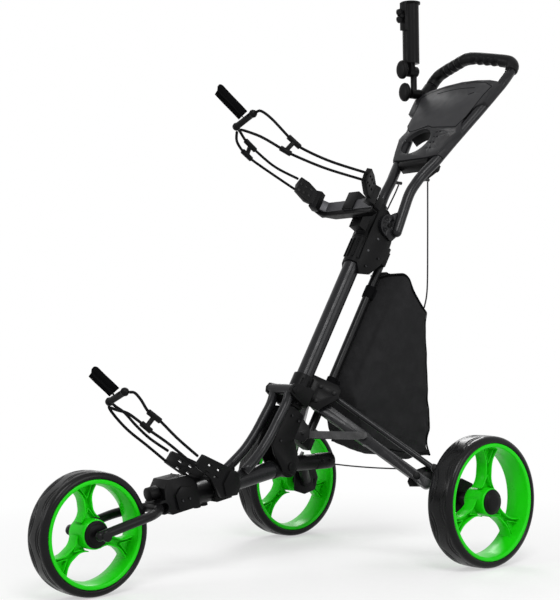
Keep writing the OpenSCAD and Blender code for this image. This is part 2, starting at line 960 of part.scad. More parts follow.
module upper_cord_left() {
    color("#1c1c1d")
        place() {
            cord(upper_left_route, cord_d / 2);
            cord(upper_left_back, cord_d / 2);
        }
}

module upper_cord_right() {
    color("#1c1c1d")
        place() {
            cord(upper_right_route, cord_d / 2);
            cord(upper_right_back, cord_d / 2);
        }
}

module lower_cord_left() {
    color("#1c1c1d")
        place() {
            cord(lower_left_route, cord_d / 2);
            cord(lower_left_back, cord_d / 2);
        }
}

module lower_cord_right() {
    color("#1c1c1d")
        place() {
            cord(lower_right_route, cord_d / 2);
            cord(lower_right_back, cord_d / 2);
        }
}

// H-shaped slider between the two strands of a cord: two ferrules joined by a waisted web.
module slider(a0, a1, b0, b1) {
    mid_a = (a0 + a1) / 2;
    mid_b = (b0 + b1) / 2;
    color("#2a2a2c")
        place()
            difference() {
                union() {
                    bar(a0, a1, cord_d / 2 + 3);
                    bar(b0, b1, cord_d / 2 + 3);
                    bar(mid_a, mid_b, 5);
                }
                bar(a0 * 2 - a1, a1 * 2 - a0, cord_d / 2 + gap);
                bar(b0 * 2 - b1, b1 * 2 - b0, cord_d / 2 + gap);
            }
}

module upper_slider_left() {
    slider([92, -307, 898], [88, -334, 918], [90, -331, 882], [84, -353, 893]);
}

module upper_slider_right() {
    slider([-92, -279, 913], [-88, -308, 931], [-98, -286, 893], [-94, -312, 908]);
}

module lower_slider() {
    slider([52, -648, 334], [52, -675, 353], [50, -669, 315], [48, -689, 331]);
}

// Buckle bar: two rounded ends joined by a bar that the tab loops round.
module buckle(a, b) {
    d = b - a;
    l = norm(d);
    color("#2a2a2c")
        place()
            translate(a)
                rotate([0, acos(d[2] / l), atan2(d[1], d[0])])
                    rotate_extrude()
                        polygon([[0, -9], [4.5, -7.8], [7.8, -4.5], [9, 0], [7.8, 4.5], [7, 5.6],
                                 [7, l - 5.6], [7.8, l - 4.5], [9, l], [7.8, l + 4.5],
                                 [4.5, l + 7.8], [0, l + 9]]);
}

module upper_buckle() {
    buckle([-33, -378, 950], [24, -378, 971]);
}

module lower_buckle() {
    buckle([-30, -712, 372], [24, -712, 393]);
}

// Pull tab: a flat strap folded back on itself.
module tab(a, b) {
    d = b - a;
    l = norm(d);
    color("#1a1a1b")
        place()
            translate(a)
                rotate([atan2(d[2], d[1]), 0, 0])
                    translate([-tab_w / 2, 0, -2.5])
                        cube([tab_w, l, 5]);
}

module upper_tab() {
    tab([0, -386.2, 968.4], [0, -453, 1018]);
}

module lower_tab() {
    tab([0, -720.5, 390.7], [0, -771, 434]);
}

module bag_cord_left() {
    color("#3b3b3d")
        place()
            cord([[45, 134, 853.8], [45, 131, 710], [46, 126, 600], [48, 112.8, 556.8]], 1.8);
}

module bag_cord_right() {
    color("#3b3b3d")
        place()
            cord([[-45, 128, 853.8], [-46, 116, 832], [-48, 85, 782], [-50, 50, 712],
                  [-49.5, 40, 668], [-49, 37.5, 642.7]], 1.8);
}

// ---- handle ----

module handle_half(s) {
    low = [s * hinge_x, 31, 732];
    bent(concat([low, [s * hinge_x, 76, 826], [s * 46, 104, 859], [s * 54, 123, 880]],
        [for (p = upper_run) handle_point([s * p[0], p[1], p[2]])]), handle_r);
    translate(low)
        sphere(r = handle_r + seat);
}

module handle_tube() {
    color("#2d2d30")
        place() {
            for (s = [-1, 1])
                handle_half(s);
            on_upright()
                for (s = [-1, 1])
                    difference() {
                        union() {
                            // round hinge plates with their web to the tube
                            translate([0, hinge_q, hinge_t])
                                along_x(s > 0 ? 28.6 : -37, s > 0 ? 37 : -28.6, 26);
                            translate([s * 33, 0, 0])
                                plate_x(-4, 4, [[20, 617], [50, 614], [62, 640], [56, 690],
                                                [40, 690], [20, 667]]);
                        }
                        translate([0, hinge_q, hinge_t])
                            along_x(-70, 70, pin_r + 1 + run);
                        // windows between the spokes of the plate
                        for (a = [75, 135, 195, 255])
                            translate([s * 36, hinge_q, hinge_t])
                                rotate([a, 0, 0])
                                    translate([-4, 10, -4])
                                        cube([8, 11, 8]);
                    }
            // crossbar below the console, which the console mount clamps
            on_handle()
                bar([-63, 0, 0], [63, 0, 0], cross_r);
            // small lugs that the bag cords hang from
            for (s = [-1, 1])
                bar([s * 47, 106, 860], [s * 45, 137, 858], 4);
        }
}

module grip() {
    color("#353538")
        place()
            on_handle()
                difference() {
                    bent(grip_run, grip_d / 2);
                    // the grip starts just above the tube's end
                    translate([-200, -50, 200])
                        cube([400, 100, half_grip[0][2] + 1 - 200]);
                }
}

// ---- console, in the handle frame ----

face_y = -handle_r - 3;

// where the tube comes in below the console
tube_entry = [54, 20 * (sin(rake) - cos(rake)), -20 * (sin(rake) + cos(rake))];

// radius of the crossbar, and depth of the lid's recess
cross_r = 8;
lid_t = 2.9;

module console_outline(inset) {
    polygon([for (p = [[-72, 8], [-40, 4], [40, 4], [72, 8], [84, 38], [96, 74], [100, 84], [97, 96],
        [90, 112], [88, 130], [92, 150], [103, 166], [126, 178], [132, 206], [137, 232], [131, 246],
        [98, 258], [52, 267], [0, 271], [-52, 267], [-98, 258], [-131, 246], [-137, 232],
        [-132, 206], [-126, 178], [-103, 166], [-92, 150], [-88, 130], [-90, 112], [-97, 96],
        [-100, 84], [-96, 74], [-84, 38]]) p * (1 - inset)]);
}

lid_shape = [[-99, 132], [-88, 118], [-76, 108], [-50, 113], [-22, 121], [-6, 113], [77, 101],
    [92, 132], [106, 206], [116, 232], [90, 248], [48, 257], [0, 261], [-48, 257], [-90, 248],
    [-116, 232], [-106, 200]];

module console_body() {
    color("#4a4a4d")
        place()
            difference() {
                on_handle()
                difference() {
                    union() {
                        translate([0, face_y + console_t, 0])
                            rotate([90, 0, 0])
                                linear_extrude(console_t)
                                    console_outline(0);
                        // wraps over both tubes, open at the back
                        for (s = [-1, 1])
                            intersection() {
                                bent([for (p = upper_run) [s * p[0], p[1], p[2]]], handle_r + 3);
                                union() {
                                    translate([-160, -30, 10])
                                        cube([320, 33, 76]);
                                    translate([-160, -30, 178])
                                        cube([320, 33, 64]);
                                }
                            }
                    }
                    // cup hole
                    translate([-32, 30, 68])
                        rotate([90, 0, 0])
                            cylinder(h = 60, r = cup_d / 2);
                    // recess for the lid
                    translate([0, face_y + lid_t, 0])
                        rotate([90, 0, 0])
                            linear_extrude(20)
                                offset_shape(lid_shape, 1);
                    // tee holes
                    for (z = [36, 55, 74, 91])
                        for (x = [24, 34])
                            translate([x, 30, z])
                                rotate([90, 0, 0])
                                    cylinder(h = 60, r = 2.6);
                    for (s = [-1, 1])
                        tube_room(s, seat + gap);
                    bar([-70, 0, 0], [70, 0, 0], cross_r + gap);
                    // room for the lid's hinge barrel
                    translate([-20.4, face_y - 2, 258])
                        cube([40.8, 2 + lid_t, 4.9]);
                }
                // room for the umbrella holder's low joint
                along_y(umb_x, 255, 325, low_joint, low_joint_r + gap);
            }
}

// A shape grown a little about its middle, for running clearance round a lid.
module offset_shape(points, grow) {
    polygon([for (p = points) [p[0] + sign(p[0]) * grow, p[1] + (p[1] > 180 ? grow : -grow)]]);
}

// The handle tube's own room, cut out of what clamps it.
module tube_room(s, room = gap) {
    bent([for (p = concat([tube_entry], upper_run)) [s * p[0], p[1], p[2]]], handle_r + room);
}

module console_lid() {
    color("#57575b")
        place()
            on_handle()
                difference() {
                    union() {
                        translate([0, face_y + lid_t - 0.3, 0])
                            rotate([90, 0, 0])
                                linear_extrude(3.5)
                                    polygon(lid_shape);
                        // hinge barrel
                        translate([0, face_y + 0.4, 260.5])
                            along_x(-20, 20, 2);
                    }
                    // pencil slot
                    translate([52, face_y - 6, 214])
                        rotate([0, -12, 0])
                            cube([18, 20, 3]);
                }
}

// Cup ring and the block that clamps the crossbar, below the console.
module console_mount() {
    color("#232325")
        place()
            on_handle() {
                difference() {
                    union() {
                        // cup ring with its bottom bar
                        translate([-32, 20, 68])
                            rotate([90, 0, 0])
                                cylinder(h = 20 - face_y - console_t - gap, r = cup_d / 2 + 3);
                        // block round the crossbar
                        translate([-46, face_y + console_t + gap, -13])
                            cube([92, 18, 46]);
                        translate([-46, 0, 0])
                            rotate([0, 90, 0])
                                cylinder(h = 92, r = 13);
                    }
                    translate([-32, 40, 68])
                        rotate([90, 0, 0])
                            cylinder(h = 90, r = cup_d / 2);
                    bar([-90, 0, 0], [90, 0, 0], cross_r + gap);
                    // the console lies here
                    translate([-80, -30, 4 - gap])
                        cube([160, 30 + face_y + console_t + gap, 100]);
                    // the console's sleeve runs past the ring here
                    plate_y(-40, 40, [[-46.7, -20], [-46.7, 0], [-56.6, 46], [-74.9, 114], [-120, 114],
                                      [-120, -20]]);
                    // room for the lever
                    translate([10.6, 9, -30])
                        cube([30.8, 40, 80]);
                }
                difference() {
                    translate([-32 - cup_d / 2 - 1, 19, 34])
                        cube([cup_d + 2, 6, 8]);
                    translate([-32, 20.2, 68])
                        rotate([90, 0, 0])
                            cylinder(h = 60, r = cup_d / 2);
                }
            }
}

// Lever behind the crossbar that lets the handle fold.
module release_lever() {
    color("#2a2a2c")
        place()
            on_handle() {
                translate([11, 24, 10])
                    rotate([0, 90, 0])
                        cylinder(h = 30, r = 14);
                plate_x(14, 37, [[26, 22], [38, 26], [40, 14], [33, -8], [22, -40], [14, -42],
                                 [12, -34], [16, -10]]);
            }
}

// ---- umbrella holder on the right-hand tube ----

umb_x = -134;
umb_y = 269;

// heights of the elbow's two joints, and the radius of the low one
low_joint = 1100;
top_joint = 1156;
low_joint_r = 13;

module along_y(x, y0, y1, z, r) {
    translate([x, y1, z])
        rotate([90, 0, 0])
            cylinder(h = y1 - y0, r = r);
}

module umbrella_clamp() {
    color("#1e1e20")
        place()
            difference() {
                union() {
                    on_handle()
                        translate([umb_x + 4.5, 0, 256])
                            cylinder(h = 34, r = handle_r + 6);
                    along_y(umb_x, 291, 318, low_joint, low_joint_r);
                }
                on_handle()
                    tube_room(-1, seat + gap);
                along_y(umb_x, 280, 296, low_joint, 5 + run);
            }
}

module umbrella_elbow() {
    color("#1e1e20")
        place()
            difference() {
                union() {
                    along_y(umb_x, 263, 290.8, low_joint, low_joint_r - 0.6);
                    along_y(umb_x, 280, 295.6, low_joint, 5);
                    along_y(umb_x, 269, 284, top_joint, 14);
                    bar([umb_x, 277.2, low_joint], [umb_x, 277.2, top_joint], 8);
                }
                along_y(umb_x, 200, 278, low_joint, 4 + run);
                along_y(umb_x, 200, 279, top_joint, 4 + run);
            }
}

module umbrella_tube() {
    color("#2a2a2c")
        place()
            difference() {
                union() {
                    translate([umb_x, umb_y, 1176])
                        cylinder(h = 152, r = umbrella_d / 2);
                    translate([umb_x, umb_y, 1326])
                        cylinder(h = 5, r = umbrella_d / 2 + 4);
                    // clamp boss on the front
                    translate([umb_x - 9, umb_y - umbrella_d / 2 - 8, 1258])
                        cube([18, 14, 70]);
                    // ear of the tilt joint
                    along_y(umb_x, 255, 268.8, top_joint, 14);
                    translate([umb_x - 14, 255, top_joint])
                        cube([28, 13.8, 24]);
                }
                translate([umb_x, umb_y, 1182])
                    cylinder(h = 160, r = umbrella_d / 2 - umbrella_wall);
                along_y(umb_x, 240, 262, 1292, 3.5 + run);
                along_y(umb_x, 240, 280, top_joint, 4 + run);
            }
}

// Oval hand knob with its stem, facing the front.
module oval_knob(y, z, stem, thick) {
    difference() {
        along_y(umb_x, y - thick, y, z, 24);
        for (s = [-1, 1])
            translate([umb_x + s * 34, 0, 0])
                along_y(0, y - thick - 1, y + 1, z, 18);
    }
    along_y(umb_x, y, y + stem, z, 8);
}

module umbrella_knob_top() {
    color("#303033")
        place() {
            oval_knob(243, top_joint, 11.6, 14);
            along_y(umb_x, 243, 278, top_joint, 4);
        }
}

module umbrella_knob_low() {
    color("#303033")
        place() {
            oval_knob(251, low_joint, 11.6, 14);
            along_y(umb_x, 251, 277, low_joint, 4);
        }
}

// Wing screw that grips the umbrella shaft.
module umbrella_screw() {
    color("#303033")
        place()
            translate([umb_x, umb_y - umbrella_d / 2 - 8.4, 1292])
                rotate([90, 0, 0]) {
                    cylinder(h = 11, r = 7);
                    for (s = [-1, 1])
                        translate([0, s * 9, 9.5])
                            rotate([0, 90, 0])
                                cylinder(h = 7, r = 9, center = true);
                    translate([0, 0, -11])
                        cylinder(h = 12, r = 3.5);
                }
}

// ---- storage bag ----

module storage_bag() {
    hw = bag_w / 2;
    color("#1d1d1f")
        place() {
            intersection() {
                plate_x(-hw, hw, [[0, 622], [10, 646], [44, 641], [82, 586], [119, 549],
                    [118, 480], [124, 350], [129, 196], [100, 204], [20, 216], [-60, 232],
                    [-98, 246], [-128, 330], [-133, 400]]);
                on_upright()
                    translate([0, 0, -100])
                        linear_extrude(800)
                            polygon([[-12, 89], [12, 89], [hw * 0.77, 99], [hw, 114], [hw, 700],
                                     [-hw, 700], [-hw, 114], [-hw * 0.77, 99]]);
            }
            // loops round the rail
            on_upright()
                for (t = [252, 492])
                    difference() {
                        union() {
                            translate([0, rail_q, t])
                                cylinder(h = 30, r = rail_r + 2.7);
                            translate([-8, rail_q + 6, t])
                                cube([16, 14, 30]);
                        }
                        translate([0, rail_q, t - 1])
                            cylinder(h = 32, r = rail_r + gap);
                    }
        }
}

front_tyre();
front_wheel();
front_fork();
front_block();
tracking_knob();
lower_tube();
tube_hinge();
lower_cradle();
lower_pad(1);  // lower_pad_left
lower_pad(-1);  // lower_pad_right
lower_cord_left();
lower_cord_right();
lower_slider();
lower_buckle();
lower_tab();
strut_yoke();
collar();
foot_housing();
upright_tube();
bag_rail();
leg(1);  // leg_left
leg(-1);  // leg_right
link_rod(1);  // link_rod_left
link_rod(-1);  // link_rod_right
hub_bracket(1);  // hub_bracket_left
hub_bracket(-1);  // hub_bracket_right
link_bar(1);  // link_bar_left
link_bar(-1);  // link_bar_right
rear_tyre(1);  // rear_tyre_left
rear_tyre(-1);  // rear_tyre_right
rear_wheel(1, -6);  // rear_wheel_left
rear_wheel(-1, 11);  // rear_wheel_right
leg_cord();
upper_bracket();
cradle_box();
upper_band();
upper_pad(1);  // upper_pad_left
upper_pad(-1);  // upper_pad_right
upper_cord_left();
upper_cord_right();
upper_slider_left();
upper_slider_right();
upper_buckle();
upper_tab();
handle_tube();
grip();
console_body();
console_lid();
console_mount();
release_lever();
umbrella_clamp();
umbrella_elbow();
umbrella_tube();
umbrella_knob_top();
umbrella_knob_low();
umbrella_screw();
storage_bag();
bag_cord_left();
bag_cord_right();
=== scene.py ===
"""Golf push cart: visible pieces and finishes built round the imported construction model."""

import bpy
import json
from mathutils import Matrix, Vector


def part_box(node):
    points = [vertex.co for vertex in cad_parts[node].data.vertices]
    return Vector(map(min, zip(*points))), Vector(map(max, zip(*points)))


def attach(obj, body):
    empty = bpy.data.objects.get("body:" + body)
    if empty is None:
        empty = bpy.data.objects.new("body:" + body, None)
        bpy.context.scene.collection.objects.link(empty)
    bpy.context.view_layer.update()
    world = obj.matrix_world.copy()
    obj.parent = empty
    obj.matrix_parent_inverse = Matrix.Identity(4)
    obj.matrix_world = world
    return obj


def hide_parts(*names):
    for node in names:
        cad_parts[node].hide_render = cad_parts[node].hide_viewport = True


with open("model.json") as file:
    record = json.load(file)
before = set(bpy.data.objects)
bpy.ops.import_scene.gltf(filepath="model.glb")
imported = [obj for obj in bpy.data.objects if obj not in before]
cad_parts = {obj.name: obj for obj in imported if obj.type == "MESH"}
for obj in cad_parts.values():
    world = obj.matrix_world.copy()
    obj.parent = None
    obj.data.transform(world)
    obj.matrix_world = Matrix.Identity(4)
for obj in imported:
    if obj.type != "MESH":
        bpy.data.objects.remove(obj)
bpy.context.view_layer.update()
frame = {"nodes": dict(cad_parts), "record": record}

import json
import logging
import math
from dataclasses import dataclass, field
from enum import Enum
from typing import Callable, Dict, List, Optional, Sequence, Tuple

import bmesh
import bpy
from mathutils import Matrix, Vector, noise
from mathutils.bvhtree import BVHTree

logging.basicConfig(level=logging.INFO, format="%(message)s")
LOG = logging.getLogger("push_cart")

MM = 0.001
Point = Tuple[float, float, float]
Colour = Tuple[float, float, float]
Face = Tuple[int, ...]
ACROSS = Vector((1, 0, 0))
SHARP = 32.0  # least angle, in degrees, of an edge that stays crisp
CURVE_STEPS = 8  # steps between two of a curve's given points
CORD_SIDES = 12


# ---------------------------------------------------------------- frames


def middle(node: str) -> Vector:
    """Return the centre of a construction node's box.

    Args:
        node: Name of the node.

    Returns:
        The centre, in metres.
    """
    lo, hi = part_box(node)
    return (Vector(lo) + Vector(hi)) / 2


REAR_AXLE = middle("rear_tyre_left")
FRONT_AXLE = middle("front_tyre")


@dataclass(frozen=True)
class Place:
    """A local frame, in millimetres, on one part of the cart."""

    origin: Vector
    across: Vector
    second: Vector
    third: Vector

    def at(self, a: float, b: float, c: float) -> Vector:
        """Return the point a across, b along the second and c along the third axis."""
        return self.origin + (self.across * a + self.second * b + self.third * c) * MM

    def way(self, a: float, b: float, c: float) -> Vector:
        """Return the unit direction with these parts."""
        return (self.across * a + self.second * b + self.third * c).normalized()


def turned(y: float, z: float, degrees: float) -> Place:
    """Return a place at axle-frame (0, y, z) turned forward about X.

    Args:
        y: Distance behind the rear axle, in millimetres.
        z: Height, in millimetres.
        degrees: Lean of the third axis toward the rear.

    Returns:
        The place, with its second axis to the rear and its third up.
    """
    a = math.radians(degrees)
    return Place(
        Vector((0, REAR_AXLE.y + y * MM, z * MM)),
        ACROSS,
        Vector((0, math.cos(a), -math.sin(a))),
        Vector((0, math.sin(a), math.cos(a))),
    )


GROUND = turned(0, 0, 0)
UPRIGHT = turned(-339, 210, 31)
HANDLE = turned(143, 900, 41)
SLOPE = math.radians(9.5)
LOWER = Place(
    GROUND.at(0, -285, 214),
    ACROSS,
    Vector((0, -math.cos(SLOPE), -math.sin(SLOPE))),
    Vector((0, -math.sin(SLOPE), math.cos(SLOPE))),
)


# ---------------------------------------------------------------- finishes


class Tree:
    """A material's node tree with short calls for its nodes."""

    def __init__(self, name: str) -> None:
        """Make an empty material with a shader and an output.

        Args:
            name: Name of the material.
        """
        self.material = bpy.data.materials.new(name)
        self.material.use_nodes = True
        self.nodes = self.material.node_tree.nodes
        self.links = self.material.node_tree.links
        self.shader = self.nodes["Principled BSDF"]

    def add(self, kind: str, **values: object) -> bpy.types.Node:
        """Add a node and set its plain properties.

        Args:
            kind: Type of the node.
            **values: Its properties.

        Returns:
            The node.
        """
        node = self.nodes.new(kind)
        for key, value in values.items():
            setattr(node, key, value)
        return node

    def join(self, out: bpy.types.NodeSocket, into: bpy.types.NodeSocket) -> None:
        """Link two sockets."""
        self.links.new(out, into)

    def coords(self, scale: Sequence[float] = (1, 1, 1), uv: bool = False) -> bpy.types.NodeSocket:
        """Return scaled coordinates.

        Args:
            scale: Factor along each axis.
            uv: Whether they are the piece's UV map and not its own space.

        Returns:
            The coordinates' socket.
        """
        source = self.add("ShaderNodeTexCoord")
        mapping = self.add("ShaderNodeMapping")
        mapping.inputs["Scale"].default_value = tuple(scale)
        self.join(source.outputs["UV" if uv else "Object"], mapping.inputs["Vector"])
        return mapping.outputs["Vector"]

    def noise(self, vector: bpy.types.NodeSocket, scale: float, detail: float = 3.0,
              rough: float = 0.5) -> bpy.types.NodeSocket:
        """Return a noise value.

        Args:
            vector: Coordinates.
            scale: How fine the noise is.
            detail: Number of finer layers.
            rough: Strength of the finer layers.

        Returns:
            The value's socket, from 0 to 1.
        """
        node = self.add("ShaderNodeTexNoise")
        node.inputs["Scale"].default_value = scale
        node.inputs["Detail"].default_value = detail
        node.inputs["Roughness"].default_value = rough
        self.join(vector, node.inputs["Vector"])
        return node.outputs["Fac"]

    def wave(self, vector: bpy.types.NodeSocket, scale: float, direction: str) -> bpy.types.NodeSocket:
        """Return a sine band value along one axis.

        Args:
            vector: Coordinates.
            scale: How close the bands lie.
            direction: Axis that they cross.

        Returns:
            The value's socket, from 0 to 1.
        """
        node = self.add("ShaderNodeTexWave", wave_type="BANDS", bands_direction=direction)
        node.inputs["Scale"].default_value = scale
        self.join(vector, node.inputs["Vector"])
        return node.outputs["Fac"]

    def calc(self, kind: str, a: object, b: object) -> bpy.types.NodeSocket:
        """Return a math node's value.

        Args:
            kind: The node's operation.
            a: First socket or number.
            b: Second socket or number.

        Returns:
            The value's socket.
        """
        node = self.add("ShaderNodeMath", operation=kind)
        for i, value in enumerate((a, b)):
            if isinstance(value, (int, float)):
                node.inputs[i].default_value = value
            else:
                self.join(value, node.inputs[i])
        return node.outputs[0]

    def between(self, value: bpy.types.NodeSocket, low: float, high: float, lo: float = 0.3,
                hi: float = 0.7) -> bpy.types.NodeSocket:
        """Return a value stretched to another range.

        Args:
            value: The value.
            low: What lo becomes.
            high: What hi becomes.
            lo: Low end of the value's range.
            hi: High end of the value's range.

        Returns:
            The new value's socket.
        """
        node = self.add("ShaderNodeMapRange")
        for key, number in (("From Min", lo), ("From Max", hi), ("To Min", low), ("To Max", high)):
            node.inputs[key].default_value = number
        self.join(value, node.inputs["Value"])
        return node.outputs["Result"]

    def blend(self, value: bpy.types.NodeSocket, dark: Colour, light: Colour) -> bpy.types.NodeSocket:
        """Return a colour between two colours.

        Args:
            value: Share of the light one.
            dark: Colour at the low end.
            light: Colour at the high end.

        Returns:
            The colour's socket.
        """
        node = self.add("ShaderNodeValToRGB")
        node.color_ramp.elements[0].color = (*dark, 1)
        node.color_ramp.elements[1].color = (*light, 1)
        node.color_ramp.elements[0].position = 0.3
        node.color_ramp.elements[1].position = 0.7
        self.join(value, node.inputs["Fac"])
        return node.outputs["Color"]

    def bump(self, height: bpy.types.NodeSocket, strength: float, distance: float,
             rounding: float = 0.0) -> None:
        """Send a height, and a rounding of the edges, to the shader's normal.

        Args:
            height: The height.
            strength: Share of the relief that shows.
            distance: Depth of the relief, in metres.
            rounding: Radius of the edges' rounding, in metres, or 0 for none.
        """
        node = self.add("ShaderNodeBump")
        node.inputs["Strength"].default_value = strength
        node.inputs["Distance"].default_value = distance
        self.join(height, node.inputs["Height"])
        if rounding:
            edge = self.add("ShaderNodeBevel", samples=4)
            edge.inputs["Radius"].default_value = rounding
            self.join(edge.outputs["Normal"], node.inputs["Normal"])
        self.join(node.outputs["Normal"], self.shader.inputs["Normal"])

    def set(self, **values: float) -> None:
        """Set plain numbers on the shader's own sockets."""
        for key, value in values.items():
            self.shader.inputs[key.replace("_", " ")].default_value = value

    def paint(self, value: bpy.types.NodeSocket, colour: Colour, dark: float, light: float) -> None:
        """Colour the shader between a darker and a lighter share of one colour."""
        mixed = self.blend(value, shade(colour, dark), shade(colour, light))
        self.join(mixed, self.shader.inputs["Base Color"])

    def dull(self, value: bpy.types.NodeSocket, low: float, high: float) -> None:
        """Spread the shader's roughness between two numbers."""
        self.join(self.between(value, low, high), self.shader.inputs["Roughness"])


def shade(colour: Colour, by: float) -> Colour:
    """Return the colour made lighter or darker by a factor."""
    return tuple(min(1.0, c * by) for c in colour)


@dataclass(frozen=True)
class Coat:
    """Powder coat or moulded plastic: fine grain, slight mottling, soft wear in its gloss."""

    name: str
    colour: Colour
    rough: float = 0.45
    grain: float = 900.0
    depth: float = 0.00012
    metal: float = 0.0
    spread: float = 0.12
    rounding: float = 0.0007
    shine: float = 0.2

    def build(self) -> bpy.types.Material:
        """Make the material.

        Returns:
            The finished material.
        """
        t = Tree(self.name)
        where = t.coords()
        broad = t.noise(where, 14, 4)
        fine = t.noise(where, self.grain, 2, 0.6)
        mixed = t.calc("ADD", t.calc("MULTIPLY", broad, 0.7), t.calc("MULTIPLY", fine, 0.3))
        t.paint(mixed, self.colour, 1 - self.spread, 1 + self.spread)
        t.dull(t.noise(where, 55, 5), self.rough - 0.06, self.rough + 0.08)
        t.bump(fine, 0.35, self.depth, self.rounding)
        t.set(Metallic=self.metal, Specular_IOR_Level=self.shine)
        return t.material


@dataclass(frozen=True)
class Gloss:
    """Shiny coloured moulding with faint flow marks."""

    name: str
    colour: Colour
    rough: float = 0.2

    def build(self) -> bpy.types.Material:
        """Make the material.

        Returns:
            The finished material.
        """
        t = Tree(self.name)
        where = t.coords()
        t.paint(t.noise(where, 9, 3), self.colour, 0.93, 1.05)
        t.dull(t.noise(where, 40, 4), self.rough - 0.04, self.rough + 0.07)
        t.bump(t.noise(where, 30, 3), 0.12, 0.0006, 0.0012)
        t.set(Coat_Weight=0.03, Coat_Roughness=0.1, Specular_IOR_Level=0.12)
        return t.material


@dataclass(frozen=True)
class Rubber:
    """Moulded tyre: smooth and dark, with a little dust."""

    name: str
    colour: Colour
    rough: float = 0.3

    def build(self) -> bpy.types.Material:
        """Make the material.

        Returns:
            The finished material.
        """
        t = Tree(self.name)
        where = t.coords()
        t.paint(t.noise(where, 24, 6, 0.6), self.colour, 0.85, 1.25)
        t.dull(t.noise(where, 60, 4), self.rough - 0.07, self.rough + 0.09)
        t.bump(t.noise(where, 500, 3), 0.1, 0.00003)
        t.set(Coat_Weight=0.03, Coat_Roughness=0.2, Specular_IOR_Level=0.14)
        return t.material


@dataclass(frozen=True)
class Cloth:
    """Woven cloth: two crossed sets of threads, laid on the piece's own UV map in metres."""

    name: str
    colour: Colour
    pitch: float = 0.0009
    depth: float = 0.0003
    rough: float = 0.8

    def build(self) -> bpy.types.Material:
        """Make the material.

        Returns:
            The finished material.
        """
        t = Tree(self.name)
        where = t.coords(uv=True)
        per_thread = math.tau / self.pitch / 20  # a band texture of scale 1 has 20 / tau bands a metre
        warp = t.wave(where, per_thread, "X")
        weft = t.wave(where, per_thread, "Y")
        weave = t.calc("MULTIPLY", warp, weft)
        mottle = t.noise(t.coords(), 35, 5, 0.6)
        mixed = t.calc("ADD", t.calc("MULTIPLY", weave, 0.55), t.calc("MULTIPLY", mottle, 0.6))
        t.paint(mixed, self.colour, 0.7, 1.3)
        t.dull(mottle, self.rough - 0.08, self.rough + 0.1)
        t.bump(weave, 0.6, self.depth)
        t.set(Specular_IOR_Level=0.02)
        return t.material


@dataclass(frozen=True)
class Braid:
    """Braided cord sleeve: two spirals of strands that cross, on the cord's UV map in metres."""

    name: str
    colour: Colour
    pitch: float = 0.003

    def build(self) -> bpy.types.Material:
        """Make the material.

        Returns:
            The finished material.
        """
        t = Tree(self.name)
        where = t.coords(uv=True)
        split = t.add("ShaderNodeSeparateXYZ")
        t.join(where, split.inputs[0])
        spirals = []
        for kind in ("ADD", "SUBTRACT"):
            crossed = t.calc(kind, split.outputs[0], split.outputs[1])
            spirals.append(t.calc("SINE", t.calc("MULTIPLY", crossed, math.tau / self.pitch), 0))
        strands = t.calc("MAXIMUM", *spirals)
        t.paint(t.between(strands, 0, 1, -0.4, 1.0), self.colour, 0.55, 1.3)
        t.dull(t.noise(t.coords(), 80, 3), 0.6, 0.85)
        t.bump(strands, 0.12, 0.00006)
        t.set(Specular_IOR_Level=0.02)
        return t.material


class Finish(Enum):
    """Every finish on the cart."""

    TYRE = Rubber("tyre_rubber", (0.0042, 0.0042, 0.0046), 0.26)
    GREEN = Gloss("green_moulding", (0.011, 0.60, 0.005), 0.3)
    GRAPHITE = Coat("graphite_coat", (0.0095, 0.0095, 0.0108), 0.27, 1400, 0.00001, 0.1, rounding=0.0)
    DARK_METAL = Coat("black_coat", (0.006, 0.006, 0.0065), 0.32, 1200, 0.00002, 0.1, rounding=0.0,
                      shine=0.16)
    PLASTIC = Coat("black_moulding", (0.0035, 0.0035, 0.0038), 0.38, 700, 0.00012, shine=0.09)
    CONSOLE = Coat("console_moulding", (0.019, 0.019, 0.0205), 0.42, 1500, 0.00005, shine=0.11)
    LID = Coat("lid_moulding", (0.034, 0.034, 0.036), 0.46, 1700, 0.00004, shine=0.12)
    GRIP = Coat("soft_grip", (0.0045, 0.0045, 0.005), 0.36, 1100, 0.00012, rounding=0.0, shine=0.1)
    BAND = Coat("band_coat", (0.06, 0.06, 0.065), 0.4, 1200, 0.00008, 0.4, shine=0.25)
    STEEL = Coat("plain_steel", (0.42, 0.42, 0.43), 0.3, 2000, 0.00004, 1.0)
    SCREW = Coat("dark_steel", (0.07, 0.07, 0.075), 0.33, 2000, 0.00004, 0.9)
    CLOTH = Cloth("woven_black", (0.0225, 0.0225, 0.0235), 0.0011)
    PIPING = Cloth("piping_cloth", (0.005, 0.005, 0.0055), 0.0007)
    WEBBING = Cloth("black_strapping", (0.005, 0.005, 0.0055), 0.0016, 0.0005)
    ELASTIC = Braid("elastic_sleeve", (0.008, 0.008, 0.0085))
    LINE = Braid("grey_line", (0.03, 0.03, 0.032), 0.0016)
    THREAD = Coat("thread", (0.013, 0.013, 0.014), 0.7, rounding=0.0, shine=0.05)
    # painted shade: near-black colour of the strips that stand for the shadow inside the lid's seam and
    # slot
    PAINTED_SLOT_SHADE = Coat("slot_shadow", (0.0018, 0.0018, 0.0018), 0.8, rounding=0.0, shine=0.02)

    @property
    def material(self) -> bpy.types.Material:
        """Return the finish's material, made once."""
        found = bpy.data.materials.get(self.value.name)
        return found or self.value.build()


# ---------------------------------------------------------------- mesh helpers


def placed(name: str, data: bpy.types.ID) -> bpy.types.Object:
    """Put a mesh, lamp or camera in the scene.

    Args:
        name: Name of the object.
        data: What it shows.

    Returns:
        The new object.
    """
    made = bpy.data.objects.new(name, data)
    bpy.context.scene.collection.objects.link(made)
    return made


def smooth_faces(mesh: bpy.types.Mesh, angle: Optional[float] = None) -> None:
    """Shade every face smooth.

    Args:
        mesh: The mesh.
        angle: Least angle, in degrees, of an edge that stays sharp, or None for no sharp edge.
    """
    mesh.polygons.foreach_set("use_smooth", [True] * len(mesh.polygons))
    if angle is not None:
        mesh.set_sharp_from_angle(angle=math.radians(angle))


